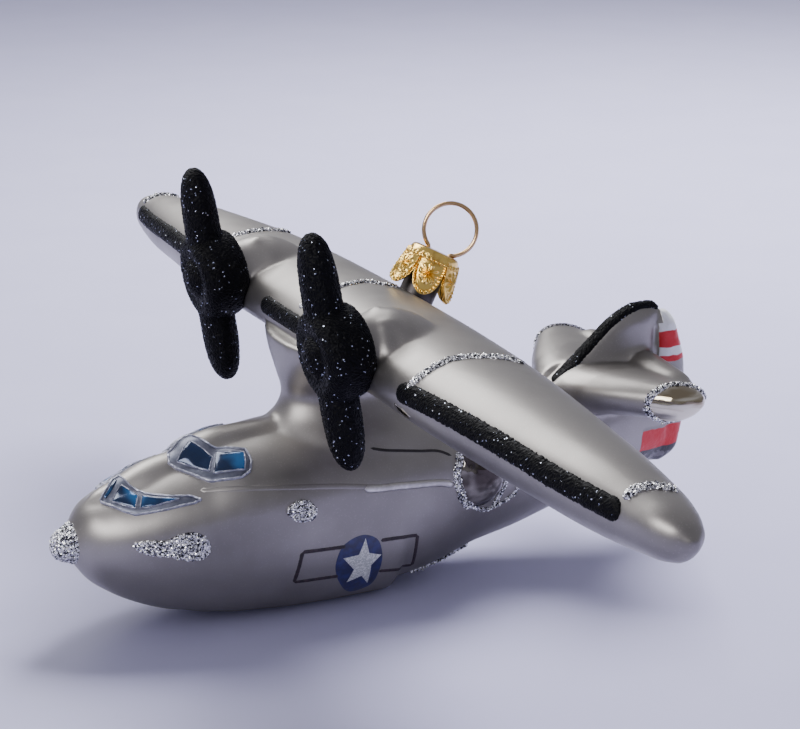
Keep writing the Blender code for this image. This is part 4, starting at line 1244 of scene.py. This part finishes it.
class Finish:
    """One material: a Principled shader and the nodes that feed it."""

    def __init__(self, name, **constants):
        self.material = bpy.data.materials.new(name)
        self.material.use_nodes = True
        self.tree = self.material.node_tree
        self.shader = self.tree.nodes["Principled BSDF"]
        self.give(**constants)
        self.where = self.node("ShaderNodeTexCoord", {}, {}, "Object")

    def give(self, **values):
        """Sets or links the shader's sockets: base_color is Base Color, and so on."""
        sockets = {socket.name.lower(): socket for socket in self.shader.inputs}
        for key, value in values.items():
            self.connect(sockets[key.replace("_", " ")], value)

    def connect(self, socket, value):
        if isinstance(value, Value):
            self.tree.links.new(value.socket, socket)
        elif isinstance(value, tuple) and len(value) == 3 and socket.type == "RGBA":
            socket.default_value = (*value, 1.0)
        else:
            socket.default_value = value

    def node(self, kind, settings, inputs, output=0):
        """Adds a node, gives it its settings, and then the values or links of its sockets."""
        made = self.tree.nodes.new(kind)
        for key, value in settings.items():
            setattr(made, key, value)
        for key, value in inputs.items():
            self.connect(made.inputs[key], value)
        return Value(self, made.outputs[output])

    def noise(self, size, detail=2.0):
        """Soft clouds whose blobs are about so many millimetres across."""
        scale = 1 / (size * MM)
        return self.node("ShaderNodeTexNoise", {}, {"Vector": self.where, "Scale": scale, "Detail": detail})

    def stretched(self, scale):
        """Object coordinates multiplied by a scale along each axis, so that a pattern runs out in bands."""
        return self.node("ShaderNodeMapping", {}, {"Vector": self.where, "Scale": scale})

    def cells(self, size, output="Distance"):
        """A mosaic of grains about so many millimetres across: their distance, or a random colour for each."""
        return self.node("ShaderNodeTexVoronoi", {}, {"Vector": self.where, "Scale": 1 / (size * MM)}, output)

    def grain(self, size, channel=0):
        """One random number from nothing to one for each grain of a mosaic."""
        return self.node("ShaderNodeSeparateColor", {}, {0: self.cells(size, "Color")}, channel)

    def along(self, axis):
        """The distance along an axis of the ornament, in millimetres."""
        return self.node("ShaderNodeSeparateXYZ", {}, {0: self.where}, axis) * (1 / MM)

    def attribute(self, name):
        return self.node("ShaderNodeAttribute", {"attribute_name": name}, {}, "Fac")

    def blend(self, share, first, second):
        """A colour that goes from the first to the second as the share goes from nothing to one."""
        return self.node("ShaderNodeMix", {"data_type": "RGBA"}, {0: share, 6: first, 7: second}, 2)

    def bump(self, height, distance, strength=1.0):
        """Relief: a height from nothing to one stands for so many millimetres."""
        inputs = {"Height": height, "Distance": distance * MM, "Strength": strength}
        return self.node("ShaderNodeBump", {}, inputs)


def brushed(name, size, detail, dark, pale, rough, spread, relief, **constants):
    """Paint laid with a brush: one cloud of noise gives its tone, its sheen and its faint relief."""
    finish = Finish(name, **constants)
    stroke = finish.noise(size, detail)
    finish.give(base_color=finish.blend(stroke.between(0.35, 0.7), dark, pale))
    finish.give(roughness=rough + stroke * spread, normal=finish.bump(stroke, relief, 0.6))
    return finish


# %% [markdown]
# ## Finishes
#
# The lacquer is a satin metallic: a warm grey with mica in it, a little cloudy where the brush or the spray
# laid it thicker. The light does the rest, because a satin metal shows long soft gradients over rounded
# forms.


# %% Silver-grey lacquer
LACQUER_DARK, LACQUER_PALE = (0.255, 0.240, 0.228), (0.315, 0.298, 0.284)
# The bare silver's own tone, and the darker tone of the level bands painted across it as painted reflections.
BARE_GLASS, BARE_DARK_REFLECTION = (0.66, 0.62, 0.52), (0.30, 0.25, 0.17)


def lacquer_nodes(name):
    """Clouds of tone, a fine glint of mica, and a faint orange-peel relief."""
    finish = Finish(name, metallic=0.88)
    cloud = finish.noise(16, 3.0)
    tone = finish.blend(cloud.between(0.35, 0.65), LACQUER_DARK, LACQUER_PALE)
    tone = finish.blend((finish.grain(0.2) > 0.94) * 0.1, tone, (0.55, 0.53, 0.51))
    finish.give(base_color=tone, roughness=0.38 + finish.noise(9, 2.0) * 0.08)
    finish.give(normal=finish.bump(finish.noise(0.5, 2.0) * 0.4 + finish.noise(5, 1.0), 0.03, 0.3))
    return finish, tone


lacquer = lacquer_nodes("silver_lacquer")[0]

# %% [markdown]
# The stabilisers' ends and a spot on each wing were left bare, so the silvering shows there, bright as a
# mirror, with level bands of a darker colour painted across it as painted reflections. The blisters are
# bare too, but coloured much darker, with paler swirls in the colour that are painted reflections.

# %% Bare silvered glass
silvered = Finish("silvered_glass", metallic=1.0)
# Painted reflection: level bands of a darker colour across the bare silver stand for what the mirror reflects.
reflection_bands = silvered.node("ShaderNodeTexNoise", {}, {"Vector": silvered.stretched((0.15, 0.15, 1.0)), "Scale": 700.0})
silvered.give(base_color=silvered.blend(reflection_bands.between(0.4, 0.62), BARE_GLASS, BARE_DARK_REFLECTION))
silvered.give(roughness=0.06 + silvered.noise(2.0) * 0.06)
silvered.give(normal=silvered.bump(silvered.noise(4.0, 2.0), 0.4, 0.5))

# Painted reflection: the blisters are coloured dark, with paler grey swirls that stand for what the bare mirror
# reflects.
blister_mirror = Finish("smoked_glass", metallic=0.9)
swirl = blister_mirror.noise(5.0, 2.0)
blister_mirror.give(base_color=blister_mirror.blend(swirl.between(0.4, 0.65), (0.055, 0.045, 0.042), (0.24, 0.22, 0.20)))
blister_mirror.give(roughness=0.05 + swirl * 0.08, normal=blister_mirror.bump(blister_mirror.noise(4.5, 2.0), 1.2, 0.8))

# %% Black and silver glitter
black = Finish("black_glitter", specular_ior_level=0.1)
lit = black.grain(0.22) > 0.990
black.give(base_color=black.blend(lit, (0.0012, 0.0012, 0.003), (0.55, 0.60, 0.72)))
black.give(metallic=lit * 0.9, roughness=0.5 - lit * 0.26)
black.give(normal=black.bump(black.cells(0.32) * 0.6 + black.grain(0.32, 1), 0.06, 0.8))

black_flake = Finish("black_flake", roughness=0.4, specular_ior_level=0.12)
glint = black_flake.attribute("spark") > 0.987
black_flake.give(base_color=black_flake.blend(glint, (0.0015, 0.0015, 0.003), (0.72, 0.76, 0.85)))
black_flake.give(metallic=glint * 1.0)

silver = Finish("silver_glitter", metallic=0.9)
shade = silver.grain(0.33)
silver.give(base_color=silver.blend(shade.between(0.2, 0.8), (0.04, 0.04, 0.05), (0.85, 0.85, 0.90)))
silver.give(roughness=0.15 + shade * 0.15)
silver.give(normal=silver.bump(silver.cells(0.33) * 0.6 + silver.grain(0.33, 1), 0.2, 0.9))

silver_flake = Finish("silver_flake", metallic=1.0)
face = silver_flake.attribute("spark")
silver_flake.give(base_color=silver_flake.blend(face.between(0.1, 0.5), (0.05, 0.05, 0.07), (1.0, 1.0, 1.0)))
silver_flake.give(roughness=0.12 + face * 0.14)

# %% Window paint
pane = Finish("blue_glaze", coat_weight=0.4, coat_roughness=0.12, metallic=0.3)
swirl = pane.noise(4.5, 1.0)
# The blue runs in swirls from dark navy to a brighter blue: partly the glaze's own uneven tone, partly painted
# reflection.
glaze_and_painted_reflection = pane.blend(swirl.between(0.40, 0.66), (0.003, 0.022, 0.08), (0.014, 0.15, 0.40))
pane.give(base_color=glaze_and_painted_reflection, roughness=0.1 + swirl * 0.1)
pane.give(normal=pane.bump(pane.noise(3.0, 1.0), 0.35, 0.5))

trim = brushed("frame_paint", 1.4, 3.0, (0.10, 0.11, 0.155), (0.16, 0.165, 0.215), 0.32, 0.16, 0.08, metallic=0.5)
edge = brushed("frame_edge_paint", 1.0, 3.0, (0.30, 0.31, 0.39), (0.50, 0.51, 0.60), 0.28, 0.2, 0.06,
               metallic=0.55)

# %% Star, disc and bars
navy = brushed("navy_paint", 1.6, 4.0, (0.006, 0.008, 0.060), (0.016, 0.022, 0.15), 0.3, 0.2, 0.1,
               coat_weight=0.4, coat_roughness=0.2)

white = Finish("star_paint", metallic=0.25)
dust = white.grain(0.25)
white.give(base_color=white.blend(dust.between(0.3, 0.95), (0.50, 0.52, 0.50), (0.80, 0.81, 0.80)))
white.give(roughness=0.4 + dust * 0.2, normal=white.bump(white.noise(0.5, 3.0), 0.15, 0.8))

plum = Finish("bar_paint", roughness=0.45)
plum_tone = plum.noise(0.8, 3.0).between(0.35, 0.65)
plum.give(base_color=plum.blend(plum_tone, (0.010, 0.004, 0.008), (0.034, 0.016, 0.022)))

# %% [markdown]
# The rudder is striped red and white by brush, in bands that aren't quite level. The lowest red band, and
# the near-black colour with greyer blobs that the tail is given under it, run forward over the tail's end.
# Where the paint stops, the lacquer goes on, so one material mixes both.

# %% Striped tail
RED, WHITE, DARK = (0.62, 0.010, 0.018), (0.88, 0.89, 0.92), (0.030, 0.026, 0.032)
HINGE_STATION, BAND_STATION, BAND_TOP = 129.9, 124.4, 23.2
# Columns: the height at which a colour starts, and the colour.
BANDS = ((18.2, RED), (22.6, LACQUER_PALE), (36.2, RED), (37.4, WHITE), (39.3, RED), (42.6, WHITE))
FIN_TOP, FIN_TOP_AFT = 44.5, 0.9
stripes, tail_tone = lacquer_nodes("striped_tail")
waver = stripes.noise(4.0, 2.0) * 1.4 - 0.7
level = stripes.along("Z") + waver
# Below the lowest band the tail is coloured near black, with greyer blobs.
paint = stripes.blend(stripes.noise(2.0, 3.0).between(0.55, 0.62), DARK, (0.12, 0.11, 0.12))
for bound, colour in BANDS:
    paint = stripes.blend(level.between(bound - 0.12, bound + 0.12), paint, colour)
station = stripes.along("Y") + ORIGIN_STATION + waver * 0.6
start = BAND_STATION + (level > BAND_TOP) * (HINGE_STATION - BAND_STATION) + (level > FIN_TOP) * FIN_TOP_AFT
painted = (station - start).between(-0.1, 0.1)
stripes.give(base_color=stripes.blend(painted, tail_tone, paint), metallic=0.88 - painted * 0.8)
stripes.give(roughness=0.3 - painted * 0.04 + stripes.noise(2.0, 3.0) * 0.1)
stripes.give(normal=stripes.bump(stripes.noise(1.6, 4.0) * painted, 0.35, 0.7))

# %% Gold foil and wire
gold = Finish("gold_foil", metallic=1.0)
tarnish = gold.noise(2.4, 4.0)
gold.give(base_color=gold.blend(tarnish.between(0.45, 0.8), (0.90, 0.62, 0.17), (0.52, 0.30, 0.06)))
gold.give(roughness=0.12 + tarnish * 0.14, normal=gold.bump(gold.noise(0.35, 3.0), 0.05, 0.6))

copper = Finish("copper_wire", metallic=1.0)
drawn = copper.noise(1.2, 4.0)
copper.give(base_color=copper.blend(drawn, (0.70, 0.50, 0.28), (0.50, 0.30, 0.15)))
copper.give(roughness=0.14 + drawn * 0.14, normal=copper.bump(copper.noise(0.25, 2.0), 0.03, 0.6))

seam_shine = Finish("seam_lacquer", metallic=0.9)
seam_tone = seam_shine.noise(2.2, 3.0)
seam_pale = seam_tone.between(0.35, 0.7)
seam_shine.give(base_color=seam_shine.blend(seam_pale, (0.44, 0.42, 0.41), (0.70, 0.68, 0.67)))
seam_shine.give(roughness=0.26 + seam_tone * 0.12)
seam_shine.give(normal=seam_shine.bump(seam_shine.noise(1.5, 2.0), 0.1, 0.6))

# Painted shade: the crease bead is coloured near black to stand for the shadow in the crease under the pylon's
# foot.
shadow = Finish("crease_lacquer", roughness=0.5, metallic=0.4)
shadow.give(base_color=shadow.blend(shadow.noise(1.0), (0.012, 0.010, 0.010), (0.035, 0.03, 0.03)))

stub = Finish("neck_lacquer", metallic=0.7)
stub_tone = stub.noise(2.5, 3.0)
stub.give(base_color=stub.blend(stub_tone.between(0.35, 0.65), (0.050, 0.043, 0.042), (0.085, 0.075, 0.072)))
stub.give(roughness=0.34 + stub_tone * 0.1, normal=stub.bump(stub.noise(0.6, 2.0), 0.03, 0.5))


def dress(finish, *pieces):
    """Gives a finish to pieces."""
    for piece in pieces:
        piece.data.materials.clear()
        piece.data.materials.append(finish.material)


DRESS = {"rudder": stripes, "fin": stripes, "tail_cone": stripes, "stabiliser_end_port": silvered,
         "stabiliser_end_starboard": silvered}
for name, piece in glass_parts.items():
    dress(DRESS.get(name, lacquer), piece)
dress(black, *propellers.values(), *black_pieces)
dress(black_flake, black_flakes)
dress(silver, nose, *silver_pieces)
dress(silver_flake, silver_flakes)
dress(blister_mirror, *blisters.values())
dress(silvered, *bare_pieces)
dress(lacquer, *faint_pieces)
dress(stub, neck)
dress(pane, *pane_pieces)
dress(trim, *frame_pieces)
dress(edge, *line_pieces)
dress(navy, *disc_pieces)
dress(white, *star_pieces)
dress(plum, *bar_pieces)
dress(gold, cap)
dress(copper, ring)
dress(seam_shine, *seam_pieces)
dress(shadow, *crease_pieces)
print("finishes:", len(bpy.data.materials))

# %% [markdown]
# ## Camera, table and light
#
# The camera stands where the photograph's stood, a little above the wing and off the port bow. The table is
# a sheet of pale paper. A broad window beyond the ornament and a card near the camera show only in shiny
# surfaces, as the long soft highlights on the wing and the bow. A wash from behind and to the right does
# the opposite. It lights the table, throws the shadow forward, and doesn't show in the lacquer.

# %% Camera
VIEW_AZIMUTH, VIEW_ELEVATION = 63.68, 17.83
camera = bpy.data.objects.new("camera", bpy.data.cameras.new("camera"))
bpy.context.scene.collection.objects.link(camera)
camera.location = (0.3645, -0.1771, 0.1741)
camera.rotation_euler = (math.radians(90 - VIEW_ELEVATION), 0, math.radians(VIEW_AZIMUTH))
camera.data.lens = 99
camera.data.sensor_width = 36
camera.data.clip_start = 0.01
bpy.context.scene.camera = camera

# %% Table
floor_mesh = bpy.data.meshes.new("table")
floor_mesh.from_pydata([(-3, -3, 0), (3, -3, 0), (3, 3, 0), (-3, 3, 0)], [], [(0, 1, 2, 3)])
floor = show("table", floor_mesh)
paper = Finish("paper")
fibre = paper.noise(30, 3.0)
paper.give(base_color=paper.blend(fibre.between(0.3, 0.7), (0.63, 0.62, 0.90), (0.65, 0.64, 0.92)))
paper.give(roughness=0.7)
dress(paper, floor)

# %% World and lamps
world = bpy.data.worlds.new("studio")
bpy.context.scene.world = world
world.use_nodes = True
world.node_tree.nodes["Background"].inputs["Color"].default_value = (0.80, 0.80, 0.90, 1)
world.node_tree.nodes["Background"].inputs["Strength"].default_value = 0.45


def softbox(name, where, aim, size, power_watts, colour, unseen):
    """A rectangular area light that points at a place and isn't seen by one kind of ray."""
    data = bpy.data.lights.new(name, "AREA")
    data.shape = "RECTANGLE"
    data.size, data.size_y = size
    data.energy = power_watts
    data.color = colour
    lamp = bpy.data.objects.new(name, data)
    bpy.context.scene.collection.objects.link(lamp)
    lamp.location = where
    lamp.rotation_euler = (Vector(aim) - Vector(where)).to_track_quat("-Z", "Y").to_euler()
    setattr(lamp, unseen, False)


# Which kind of ray doesn't see a lamp.
MATT, SHINY = "visible_diffuse", "visible_glossy"
softbox("key", (-0.433, -0.067, 0.44), (0, 0, 0.03), (0.50, 0.30), 4.0, (1.0, 1.0, 1.0), MATT)
softbox("card", (0.26, -0.592, 0.47), (0, 0, 0.03), (0.50, 0.32), 5.0, (1.0, 0.99, 1.0), MATT)
softbox("wash", (-0.287, 0.325, 0.52), (0.05, 0.10, 0), (0.35, 0.35), 8.2, (0.97, 0.97, 1.0), SHINY)
